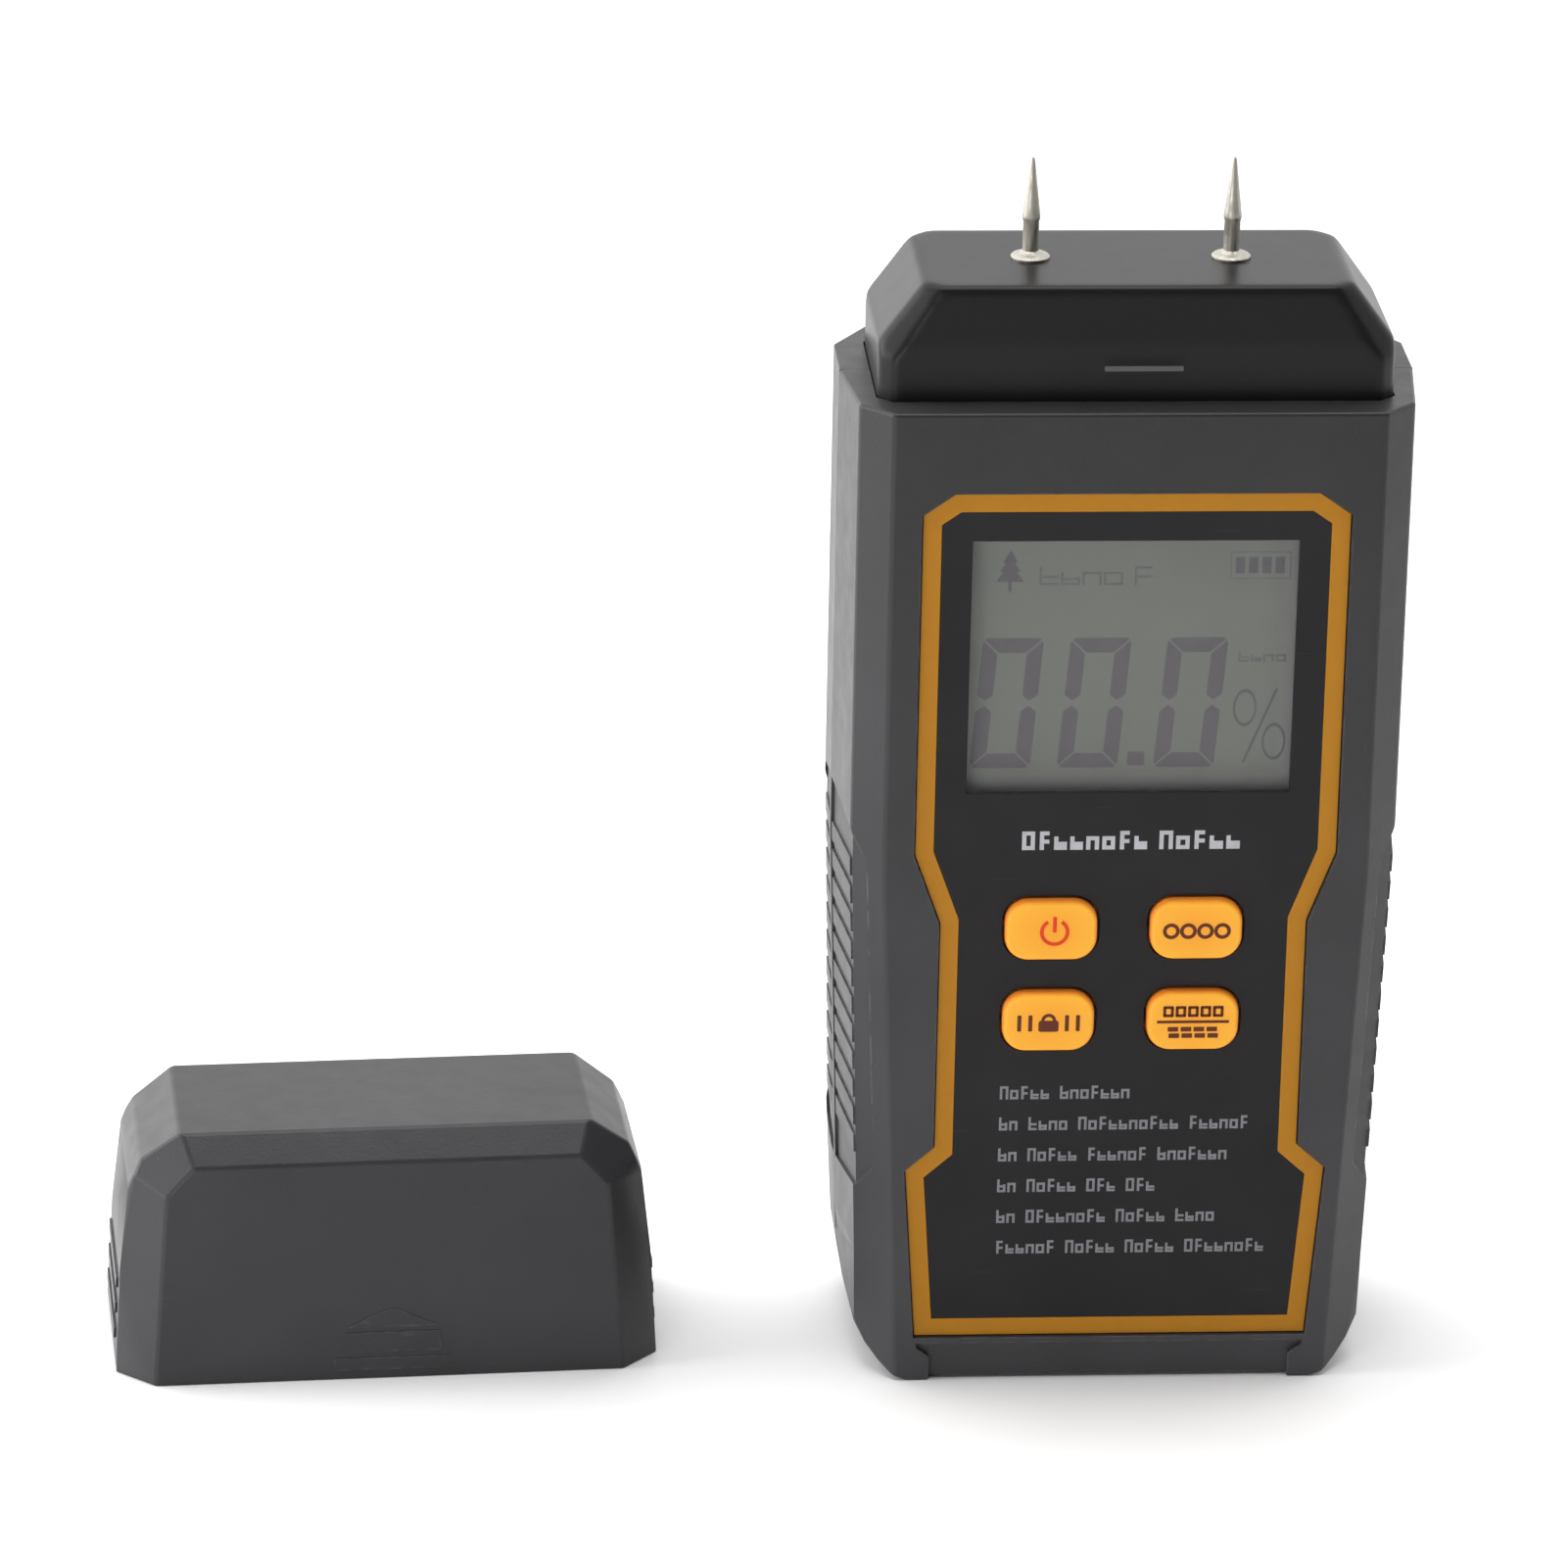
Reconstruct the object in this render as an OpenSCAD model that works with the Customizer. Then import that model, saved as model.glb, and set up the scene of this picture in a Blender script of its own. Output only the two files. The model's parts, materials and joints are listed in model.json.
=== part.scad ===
// Two-pin moisture meter with a loose pin cap. Millimetres.
// Origin: middle of the meter's base. +X right, +Y away from the display, +Z up.

/* [Case] */
// Height from the base to the top rim
case_h = 112.6; // [100:0.1:130]
// Width across the side seams
case_w = 62; // [54:0.1:70]
// Depth, front face to back face
case_d = 31; // [28:0.1:36]
// Side and back wall thickness
wall = 2; // [1.6:0.1:2.6]
// Front wall thickness
front_wall = 2.5; // [2:0.1:3]
// Height above which the sides are parallel
waist_z = 60; // [50:1:70]

/* [Probe head and pins] */
// Height of the head's flat top
head_top = 125.1; // [120:0.1:132]
// Height where the head's ends start to slope
head_shoulder = 118.7; // [115:0.1:122]
// Half width of the head at its base
head_x = 27.65; // [26:0.05:28]
// Half depth of the head at its base
head_y = 11.2; // [9:0.1:12]
// Distance between the two electrode pins
pin_gap = 21.6; // [18:0.1:26]
// Pin shank radius
pin_r = 0.9; // [0.7:0.05:1.2]
// Height of the pin tips
pin_tip = 136.3; // [130:0.1:145]

/* [Front panel] */
// Recess of the panel face below the case face
panel_drop = 0.5; // [0.3:0.1:0.8]
// Thickness of the panel sheet
panel_t = 0.6; // [0.4:0.1:0.8]
// Width of the coloured border
border_w = 2; // [1:0.1:3]
// Display window width
window_w = 35; // [30:0.5:38]
// Display window lower edge
window_z0 = 69.5; // [66:0.1:72]
// Display window upper edge
window_z1 = 98.2; // [94:0.1:100]

/* [Keys] */
// Key width
key_w = 10; // [8:0.1:12]
// Key height
key_h = 6.9; // [6:0.1:9]
// Key corner radius
key_r = 2.6; // [1:0.1:3.5]
// How far a key stands out of the panel
key_out = 1; // [1:0.1:2]
// Sideways distance of a key from the middle
key_x = 7.9; // [7.5:0.1:9]
// Height of the upper keys
key_z_hi = 53.8; // [52:0.1:56]
// Height of the lower keys
key_z_lo = 43.1; // [42:0.1:45]
// Key travel
key_travel = 0.8; // [0.5:0.1:1]

/* [Battery bay] */
// Cell radius
cell_r = 5.25; // [5:0.05:5.25]
// Cell length with its nub
cell_l = 44.5; // [43.5:0.1:44.5]
// Distance between neighbouring cells
cell_pitch = 11; // [10.8:0.1:11.2]
// Gap round the battery door
door_gap = 0.3; // [0.2:0.05:0.5]

/* [Pin cap] */
// Middle of the cap, left or right of the meter
cap_x = -80.4; // [-120:0.1:-72]
// Middle of the cap, in front of or behind the meter
cap_y = 1.9; // [-30:0.1:30]
// Turn of the cap
cap_turn = 3.6; // [-20:0.1:20]
// Cap height
cap_h = 27.8; // [27.6:0.1:30]
// Cap half width at its rim
cap_hx = 30; // [30:0.1:31]

/* [Hidden] */
$fn = 48;

// Planes shared by several parts
hw = case_w / 2;
side_u = hw * 0.994;
front_y = -case_d / 2;
back_y = case_d / 2;
panel_y = front_y + panel_drop;
seat_y = panel_y + panel_t;
inner_y = front_y + front_wall;
board_y = -9.6;
board_t = 1.6;
board_back = board_y + board_t;
pin_x = pin_gap / 2;
socket_z = 115.1;
rim_lip = case_h - 2;
head_clear = 0.12;
head_corner = 26.3;
stud_r = 1.3;
cap_wall = 1.7;
bay_z0 = 11.4;
bay_x = 17.3;
bay_y = 2;
plate_t = 0.4;
spring_l = 4.6;
bump = 0.8;
bay_z1 = bay_z0 + 2 * plate_t + spring_l + cell_l + bump;
cell_y = bay_y + 0.35 + cell_r;
door_t = 1.9;
door_y = back_y - door_t;
door_z0 = 8.3;
door_z1 = 65.9;
door_x = 19.5;
boss_hi = [24.5, 99.5];
boss_lo = [23.2, 9];
boss_r = 3;
screw_head_r = 2.15;
screw_well_r = 2.4;
board_post = [[21.8, 60.5], [21.8, 17]];
rib_pitch = 3.27;
rib_w = 2.1;
cap_rib_pitch = 3.05;
grip_z0 = 24.6;
grip_ribs = 11;

// Corner of the case outline seen from the front: x, z, angle of the outward normal below level
case_corner = [[30.2, 25, 2.5], [29.35, 10, 8], [28.9, 7.7, 15], [28.1, 5.4, 24],
  [26.9, 3.2, 38], [25.5, 1.65, 46], [24.2, 0.6, 52], [22.6, 0, 90]];
// Panel outline: x, z and how each corner moves per unit of margin
panel_pts = [[19.45, 103.5, 0.325, 1], [22.85, 101.1, 1, 0.509], [22.85, 62.4, 1, -0.179],
  [19.93, 54.5, 1, -0.179], [19.93, 28, 1, 0.449], [23.08, 25.2, 1.033, 0.42],
  [21.65, 5.3, 0.931, -1]];

// Extrude a drawing of (x, z) points along Y, of (y, z) points along X, of (x, y) points along Z
module along_y(pts, y0, y1)
  translate([0, y1, 0]) rotate([90, 0, 0]) linear_extrude(height = y1 - y0) polygon(pts);
module along_x(pts, x0, x1)
  translate([x0, 0, 0]) rotate([90, 0, 90]) linear_extrude(height = x1 - x0) polygon(pts);
// A wall whose outward direction is turned by a from +X; pts are (distance, z)
module slant(a, pts)
  rotate([0, 0, a]) translate([0, 60, 0]) rotate([90, 0, 0]) linear_extrude(height = 120)
    polygon(pts);
module box(x0, x1, y0, y1, z0, z1)
  translate([x0, y0, z0]) cube([x1 - x0, y1 - y0, z1 - z0]);
module rod_y(x, z, y0, y1, r)
  translate([x, y0, z]) rotate([-90, 0, 0]) cylinder(h = y1 - y0, r = r);
module both() {
  children();
  mirror([1, 0, 0]) children();
}
// Rounded rectangle, face on to Y
module pad_y(x, z, w, h, r, y0, y1)
  translate([x, y1, z]) rotate([90, 0, 0]) linear_extrude(height = y1 - y0) {
    square([w - 2 * r, h], center = true);
    square([w, h - 2 * r], center = true);
    for (i = [-1, 1])
      for (j = [-1, 1])
        translate([i * (w / 2 - r), j * (h / 2 - r)]) circle(r = r);
  }

function shrink(p, d) = [p[0] - d * cos(p[2]), p[1] + d * sin(p[2])];
function mirrored(h) =
  concat(h, [for (i = [len(h) - 1:-1:0]) [-h[i][0], h[i][1]]]);
function case_front(d) = mirrored(concat([[hw - d, case_h - d], [hw - d, waist_z]],
  [for (p = case_corner) shrink(p, d)]));
function panel_outline(m) = mirrored([for (p = panel_pts) [p[0] + m * p[2], p[1] + m * p[3]]]);
function half_wall(far, pts) = concat([[-far, 0], [-far, 200]], pts);

// The case's outer form, shrunk by d on all sides and by fd at the front
module case_form(d, fd) {
  intersection() {
    along_y(case_front(d), front_y + fd, back_y - d);
    slant(-43.8, half_wall(60, [[29.66 - d, 200], [29.66 - d, waist_z], [28.26 - d, 12],
      [27.9 - d, 0]]));
    slant(-136.2, half_wall(60, [[29.66 - d, 200], [29.66 - d, waist_z], [28.26 - d, 12],
      [27.9 - d, 0]]));
    slant(31.1, half_wall(60, [[31.13 - d, 200], [31.13 - d, waist_z], [29.9 - d, 0]]));
    slant(148.9, half_wall(60, [[31.13 - d, 200], [31.13 - d, waist_z], [29.9 - d, 0]]));
    slant(-6.3, half_wall(60, [[side_u - d, 200], [side_u - d, waist_z],
      [side_u - 1.47 - d, 14.5], [side_u - 1.85 - d, 0]]));
    slant(-173.7, half_wall(60, [[side_u - d, 200], [side_u - d, waist_z],
      [side_u - 1.47 - d, 14.5], [side_u - 1.85 - d, 0]]));
  }
}
module front_half() box(-60, 60, -60, 0, -10, 200);
module rear_half() box(-60, 60, 0, 60, -10, 200);
// Opening in the top rim for the probe head
module head_opening()
  intersection() {
    box(-head_x - head_clear, head_x + head_clear, -head_y - head_clear, head_y + head_clear,
      rim_lip - 1, case_h + 1);
    slant(45, mirrored([[head_corner + head_clear, 200], [head_corner + head_clear, 0]]));
    slant(-45, mirrored([[head_corner + head_clear, 200], [head_corner + head_clear, 0]]));
  }

// Grip window seen from the side, and one rib
function grip_front(m) = [[-0.4 - m, 66 - m], [-11.6, 64.6 - m], [-13.7 + m, 61 - m],
  [-13.7 + m, 25.1 + m], [-11.6, 22.1 + m], [-0.4 - m, 20.7 + m]];
function grip_rear(m) = [[0.4 + m, 66 - m], [8.2, 64.6 - m], [9.4 - m, 62 - m],
  [9.4 - m, 25.1 + m], [8.2, 22.1 + m], [0.4 + m, 20.7 + m]];

module grip_skin(pts, y0, y1) {
  intersection() {
    difference() {
      case_form(0.35, 0.35);
      case_form(0.96, 0.96);
    }
    along_x(pts, 20, 40);
  }
  intersection() {
    difference() {
      case_form(0.1, 0.1);
      case_form(0.9, 0.9);
    }
    for (i = [0:grip_ribs - 1])
      box(20, 40, y0, y1, grip_z0 + 1.4 + i * rib_pitch, grip_z0 + 1.4 + i * rib_pitch + rib_w);
  }
}
module left_grip_front()
  color([0.24, 0.245, 0.25]) mirror([1, 0, 0]) grip_skin(grip_front(0.05), -11.5, -0.6);
module left_grip_rear()
  color([0.24, 0.245, 0.25]) mirror([1, 0, 0]) grip_skin(grip_rear(0.05), 0.6, 8.3);
module right_grip_front()
  color([0.24, 0.245, 0.25]) grip_skin(grip_front(0.05), -11.5, -0.6);
module right_grip_rear()
  color([0.24, 0.245, 0.25]) grip_skin(grip_rear(0.05), 0.6, 8.3);

module front_case() color([0.25, 0.255, 0.26]) {
  difference() {
    union() {
      intersection() {
        difference() {
          case_form(0, 0);
          case_form(wall, front_wall);
        }
        front_half();
      }
      // Tongue that fits inside the rear half
      intersection() {
        difference() {
          case_form(1.1, 1.1);
          case_form(wall, front_wall);
        }
        box(-60, 60, -0.5, 1.2, -10, 200);
      }
      both() {
        intersection() {
          for (p = [boss_hi, boss_lo])
            rod_y(p[0], p[1], inner_y - 0.5, -0.2, boss_r);
          case_form(0.5, 0.5);
        }
        for (p = board_post)
          rod_y(p[0], p[1], inner_y - 0.5, board_y, 2.2);
      }
    }
    along_y(panel_outline(0.15), front_y - 1, seat_y);
    box(-18.1, 18.1, front_y - 1, 0, window_z0 - 0.6, window_z1 + 0.6);
    both() {
      pad_y(key_x, key_z_hi, key_w + 0.6, key_h + 0.6, key_r + 0.3, front_y - 1, inner_y + 1);
      pad_y(key_x, key_z_lo, key_w + 0.6, key_h + 0.6, key_r + 0.3, front_y - 1, inner_y + 1);
      for (p = [boss_hi, boss_lo])
        rod_y(p[0], p[1], -9, 1, 0.95);
      for (p = board_post)
        rod_y(p[0], p[1], inner_y + 0.2, 0, 0.75);
      intersection() {
        difference() {
          case_form(-2, -2);
          case_form(1, 1);
        }
        along_x(grip_front(0), 20, 40);
      }
    }
    head_opening();
    // Shallow band and raised edge between the two feet
    along_y(mirrored([[21.5, 4.5], [21.4, 3.9], [20, 2.9], [20, -1]]), front_y - 1, front_y + 0.7);
    box(-20, 20, front_y - 1, -12.5, -1, 0.35);
  }
}

module rear_case() color([0.23, 0.235, 0.24]) {
  difference() {
    union() {
      intersection() {
        difference() {
          case_form(0, 0);
          case_form(wall, front_wall);
        }
        rear_half();
      }
      both() {
        intersection() {
          for (p = [boss_hi, boss_lo])
            rod_y(p[0], p[1], 0.2, back_y, boss_r);
          case_form(0.5, 0.5);
        }
      }
      // Battery tray and the ledge the door sits on
      box(-bay_x - 2, bay_x + 2, bay_y - 1.4, door_y, bay_z0 - 2.2, bay_z1 + 2.2);
      box(-door_x - 2, door_x + 2, door_y - 1.6, door_y, door_z0 - 1.4, door_z1 + 2);
    }
    box(-bay_x, bay_x, bay_y, back_y, bay_z0, bay_z1);
    box(-door_x - door_gap, door_x + door_gap, door_y - 0.1, back_y + 1, door_z0 - door_gap,
      door_z1 + door_gap);
    both() {
      // Slots for the door's hinge hooks
      box(7.5, 12.5, door_y - 2.9, door_y, door_z0 - 2.4, bay_z0 + 0.1);
      for (p = [boss_hi, boss_lo]) {
        rod_y(p[0], p[1], -1, back_y + 1, 1.35);
        rod_y(p[0], p[1], 8, back_y + 1, screw_well_r);
      }
      intersection() {
        difference() {
          case_form(-2, -2);
          case_form(1, 1);
        }
        along_x(grip_rear(0), 20, 40);
      }
    }
    // Rabbet for the front half's tongue
    intersection() {
      difference() {
        case_form(1, 1);
        case_form(wall + 0.1, front_wall);
      }
      box(-60, 60, -1, 1.4, -10, 200);
    }
    // Slots for the two contact tabs
    box(-12.6, -9.4, bay_y - 2, bay_y + 0.5, bay_z1 - 0.7, bay_z1);
    box(9.4, 12.6, bay_y - 2, bay_y + 0.5, bay_z0, bay_z0 + 0.7);
    // Finger scoop above the door
    translate([-7, back_y + 3.6, door_z1 + 0.8]) rotate([0, 90, 0]) cylinder(h = 14, r = 4.8);
    head_opening();
  }
}

function head_corners(d) =
  mirrored([[23.1 - d, head_top], [head_corner - d, head_shoulder], [head_corner - d, 100]]);
module head_form(d) {
  intersection() {
    along_y(mirrored([[head_x - 4.7 - d, head_top - d], [head_x - d, head_shoulder - d * 0.4],
      [head_x - d, rim_lip - 0.7]]), -head_y + d, head_y - d);
    along_x([[-head_y + d, 100], [-head_y + d, head_shoulder], [-head_y + 1 + d, 130],
      [head_y - 1 - d, 130], [head_y - d, head_shoulder], [head_y - d, 100]], -40, 40);
    slant(45, head_corners(d));
    slant(-45, head_corners(d));
  }
}

module probe_head() color([0.17, 0.17, 0.175]) {
  difference() {
    union() {
      head_form(0);
      // Retaining flange under the rim
      intersection() {
        case_form(wall + 0.1, front_wall + 0.1);
        box(-60, 60, -12.7, 12.7, rim_lip - 2.6, rim_lip - 0.2);
      }
      // Small raised bar on the front
      box(-3.65, 4.75, -head_y - 0.22, -head_y + 0.5, 116, 116.55);
    }
    difference() {
      union() {
        head_form(2);
        box(-24, 24, -9.1, 9.1, rim_lip - 4, rim_lip + 1);
      }
      both() translate([pin_x, 0, 112]) cylinder(h = 20, r = 3.6);
    }
    both() translate([pin_x, 0, 100]) cylinder(h = 40, r = 1.9);
  }
}

module front_panel_sheet(m, y0, y1) along_y(panel_outline(m), y0, y1);
module overlay_border() color([0.69, 0.49, 0.16])
  difference() {
    front_panel_sheet(0, panel_y, seat_y);
    front_panel_sheet(-border_w, panel_y - 1, seat_y + 1);
  }
module front_overlay() color([0.16, 0.155, 0.16])
  difference() {
    front_panel_sheet(-border_w - 0.02, panel_y, seat_y);
    box(-window_w / 2, window_w / 2, panel_y - 1, seat_y + 1, window_z0, window_z1);
    both() {
      pad_y(key_x, key_z_hi, key_w + 0.6, key_h + 0.6, key_r + 0.3, panel_y - 1, seat_y + 1);
      pad_y(key_x, key_z_lo, key_w + 0.6, key_h + 0.6, key_r + 0.3, panel_y - 1, seat_y + 1);
    }
  }
module display_window() color([0.8, 0.85, 0.85, 0.35])
  box(-window_w / 2 + 0.02, window_w / 2 - 0.02, panel_y, seat_y, window_z0 + 0.02,
    window_z1 - 0.02);

lcd_y0 = inner_y + 0.1;
lcd_y1 = lcd_y0 + 1.8;
module lcd_glass() color([0.43, 0.46, 0.43])
  box(-20.3, 20.3, lcd_y0, lcd_y1, 66.6, 101.2);
module lcd_reflector() color([0.75, 0.76, 0.75])
  box(-18.2, 18.2, lcd_y1, lcd_y1 + 0.15, 70.6, 97.4);
module lcd_frame() color([0.85, 0.85, 0.83])
  difference() {
    box(-21.3, 21.3, lcd_y0, board_y, 64.9, 102.9);
    box(-20.4, 20.4, lcd_y0 - 1, board_y + 1, 66.5, 101.3);
  }
module zebra_strips() color([0.55, 0.3, 0.32]) {
  box(-18.5, 18.5, lcd_y1, board_y, 67.3, 69.8);
  box(-18.5, 18.5, lcd_y1, board_y, 98.2, 100.7);
}

module circuit_board() color([0.06, 0.3, 0.14])
  difference() {
    along_y([[-24, 14], [24, 14], [24, 94], [21, 96], [21, 104], [-21, 104], [-21, 96],
      [-24, 94]], board_y, board_back);
    both()
      for (p = board_post)
        rod_y(p[0], p[1], board_y - 1, board_back + 1, 1.1);
  }
module each_key() {
  translate([-key_x, 0, key_z_hi]) children();
  translate([key_x, 0, key_z_hi]) children();
  translate([-key_x, 0, key_z_lo]) children();
  translate([key_x, 0, key_z_lo]) children();
}
module key_pads() color([0.83, 0.68, 0.3]) each_key() rod_y(0, 0, board_y - 0.1, board_y, 2.8);
module keypad_sheet() color([0.8, 0.5, 0.15])
  difference() {
    pad_y(0, (key_z_hi + key_z_lo) / 2, 34, 25, 1.5, inner_y + 0.1, board_y);
    each_key() pad_y(0, 0, 12.8, 9.4, 3, inner_y - 1, board_y + 1);
  }
// A key with its flange and the post behind it
module key_body(x, z) color([0.99, 0.67, 0.2]) {
  pad_y(x, z, key_w, key_h, key_r, panel_y - key_out, inner_y + 0.5);
  pad_y(x, z, 12.2, 8.8, key_r, inner_y + 0.3, inner_y + 1.1);
  rod_y(x, z, inner_y + 1, inner_y + 2, 2.6);
}
module key_pill(x, z) color([0.1, 0.1, 0.1])
  rod_y(x, z, inner_y + 2, board_y - 0.2 - key_travel, 2.2);
module key_power() key_body(-key_x, key_z_hi);
module key_power_pill() key_pill(-key_x, key_z_hi);
module key_wood() key_body(key_x, key_z_hi);
module key_wood_pill() key_pill(key_x, key_z_hi);
module key_hold() key_body(-key_x, key_z_lo);
module key_hold_pill() key_pill(-key_x, key_z_lo);
module key_wall() key_body(key_x, key_z_lo);
module key_wall_pill() key_pill(key_x, key_z_lo);

module controller_chip() color([0.09, 0.09, 0.1]) {
  box(-5, 5, board_back + 0.1, board_back + 1.5, 79, 89);
  for (i = [-4:4]) {
    box(-6.2, 6.2, board_back, board_back + 0.5, 84 + i - 0.2, 84 + i + 0.2);
    box(i - 0.2, i + 0.2, board_back, board_back + 0.5, 77.8, 90.2);
  }
}
module amplifier_chip() color([0.09, 0.09, 0.1]) {
  box(-16, -12, board_back + 0.1, board_back + 1.5, 89.5, 94.5);
  for (i = [-1.5:1:1.5])
    box(-17, -11, board_back, board_back + 0.5, 92 + i * 1.27 - 0.2, 92 + i * 1.27 + 0.2);
}
module crystal_can() color([0.75, 0.75, 0.76])
  pad_y(13.5, 85, 4.4, 10.4, 2.1, board_back, board_back + 3.4);
module filter_capacitors() color([0.12, 0.13, 0.3]) {
  rod_y(-13, 80, board_back, board_back + 5, 2.5);
  rod_y(-13, 73.5, board_back, board_back + 5, 2.5);
}
module trim_resistor() color([0.1, 0.2, 0.6])
  difference() {
    box(10, 16.6, board_back, board_back + 4, 71, 77.6);
    rod_y(13.3, 74.3, board_back + 3.2, board_back + 5, 1.5);
  }
module probe_connector() color([0.93, 0.92, 0.88])
  box(-7, 7, board_back, board_back + 3.6, 96.5, 101);
module battery_connector() color([0.93, 0.92, 0.88])
  box(-4, 4, board_back, board_back + 3.6, 69, 73.4);
module board_screws() color([0.72, 0.72, 0.74])
  both()
    for (p = board_post) {
      rod_y(p[0], p[1], board_y - 2.8, board_back, 0.7);
      rod_y(p[0], p[1], board_back, board_back + 1.2, 1.8);
    }
module case_screws() color([0.35, 0.35, 0.36])
  both()
    for (p = [boss_hi, boss_lo]) {
      rod_y(p[0], p[1], -8, 8, 0.9);
      difference() {
        rod_y(p[0], p[1], 8, 10, screw_head_r);
        box(p[0] - 1.4, p[0] + 1.4, 9, 11, p[1] - 0.3, p[1] + 0.3);
        box(p[0] - 0.3, p[0] + 0.3, 9, 11, p[1] - 1.4, p[1] + 1.4);
      }
    }

// Brass socket and the nickelled pin that screws into it
module pin_socket(x) color([0.78, 0.62, 0.3])
  translate([x, 0, 0])
    difference() {
      union() {
        translate([0, 0, socket_z]) cylinder(h = head_top - socket_z, r = 1.88);
        translate([0, 0, socket_z - 3.2]) cylinder(h = 3.2, r = 1.1);
      }
      translate([0, 0, head_top - 8]) cylinder(h = 10, r = stud_r + 0.05);
    }
module electrode_pin(x) color([0.8, 0.79, 0.77])
  translate([x, 0, 0]) {
    translate([0, 0, head_top - 7]) cylinder(h = 7, r = stud_r);
    translate([0, 0, head_top]) cylinder(h = 0.35, r = 2.1);
    translate([0, 0, head_top + 0.35]) cylinder(h = 4.35, r = pin_r);
    translate([0, 0, head_top + 4.7]) cylinder(h = pin_tip - head_top - 4.7, r1 = pin_r, r2 = 0.08);
  }
module pin_socket_left() pin_socket(-pin_x);
module pin_socket_right() pin_socket(pin_x);
module electrode_pin_left() electrode_pin(-pin_x);
module electrode_pin_right() electrode_pin(pin_x);

// A wire through a list of points
module wire(pts, r) {
  for (i = [0:len(pts) - 2])
    wire_leg(pts[i], pts[i + 1], r);
  for (i = [1:len(pts) - 2])
    translate(pts[i]) sphere(r = r * 1.06);
}
module wire_leg(a, b, r)
  translate(a)
    rotate([0, acos((b[2] - a[2]) / norm(b - a)), atan2(b[1] - a[1], b[0] - a[0])])
      cylinder(h = norm(b - a), r = r);
module probe_lead(s)
  wire([[s * pin_x, 0, socket_z - 3.23], [s * pin_x, 0, 109.5], [s * 8.5, -3, 106.2],
    [s * 4, -6.2, 104], [s * 4, -6.2, 101.03]], 0.6);
module probe_lead_left() color([0.15, 0.15, 0.16]) probe_lead(-1);
module probe_lead_right() color([0.75, 0.12, 0.1]) probe_lead(1);
module battery_lead_positive() color([0.75, 0.12, 0.1])
  wire([[-11, -1, bay_z1 + 0.03], [-11, -1, 63.6], [-8, -4, 65.4], [-2, -6.2, 66.6],
    [-2, -6.2, 68.97]], 0.55);
module battery_lead_negative() color([0.12, 0.12, 0.13])
  wire([[11, -1, bay_z0 + plate_t + 0.03], [11, -1, 14], [10, -3.6, 20], [6.4, -4.6, 42],
    [2, -6.2, 65.6], [2, -6.2, 68.97]], 0.55);

// Cells: 1 and 3 point up, 2 points down
cell_up_z = bay_z0 + plate_t + spring_l;
cell_dn_z = bay_z0 + plate_t + bump + 1;
module cell(x, z0) translate([x, cell_y, z0]) cylinder(h = cell_l - 1, r = cell_r);
module battery_1() color([0.2, 0.35, 0.6]) cell(-cell_pitch, cell_up_z);
module battery_2() color([0.2, 0.35, 0.6]) cell(0, cell_dn_z);
module battery_3() color([0.2, 0.35, 0.6]) cell(cell_pitch, cell_up_z);
module battery_terminals() color([0.75, 0.75, 0.76])
  for (x = [-cell_pitch, 0, cell_pitch])
    translate([x, cell_y, x == 0 ? cell_dn_z - 1 : cell_up_z + cell_l - 1]) cylinder(h = 1, r = 1.9);
module coil(x, z0)
  translate([x, cell_y, z0])
    difference() {
      cylinder(h = spring_l, r = 3.1);
      translate([0, 0, -1]) cylinder(h = spring_l + 2, r = 2.5);
    }
module battery_springs() color([0.75, 0.75, 0.76]) {
  coil(-cell_pitch, bay_z0 + plate_t);
  coil(0, bay_z1 - plate_t - spring_l);
  coil(cell_pitch, bay_z0 + plate_t);
}
module plate(x0, x1, z0) box(x0, x1, bay_y + 0.6, bay_y + 9.6, z0, z0 + plate_t);
module plate_bump(x, z0) translate([x, cell_y, z0]) cylinder(h = bump, r = 1.6);
module contact_plates() color([0.76, 0.76, 0.77]) {
  plate(-15.2, 4, bay_z0);
  plate(7, 15.2, bay_z0);
  plate(-15.2, -7, bay_z1 - plate_t);
  plate(-4, 15.2, bay_z1 - plate_t);
  plate_bump(0, bay_z0 + plate_t);
  plate_bump(-cell_pitch, bay_z1 - plate_t - bump);
  plate_bump(cell_pitch, bay_z1 - plate_t - bump);
  box(-12.2, -9.8, -1.6, bay_y + 0.7, bay_z1 - plate_t, bay_z1);
  box(9.8, 12.2, -1.6, bay_y + 0.7, bay_z0, bay_z0 + plate_t);
}

module battery_door() color([0.23, 0.235, 0.24])
  difference() {
    union() {
      box(-door_x, door_x, door_y + 0.1, back_y, door_z0, door_z1);
      both() {
        box(8, 12, door_y - 0.7, door_y + 0.2, door_z0 + 0.3, door_z0 + 1.5);
        box(8, 12, door_y - 1.7, door_y - 0.6, door_z0 - 1.8, door_z0 + 1.5);
      }
      // Locating rib along the top
      box(-14, 14, door_y - 1, door_y + 0.2, bay_z1 - 2.2, bay_z1 - 1);
    }
    for (i = [0:4])
      box(-6, 6, back_y - 0.5, back_y + 1, 53 + 2 * i, 54 + 2 * i);
  }
module door_pad() color([0.12, 0.12, 0.12])
  box(-14, 14, cell_y + cell_r + 0.1, door_y + 0.1, 20, 54);

module cap_place() translate([cap_x, cap_y, 0]) rotate([0, 0, cap_turn]) children();
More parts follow.
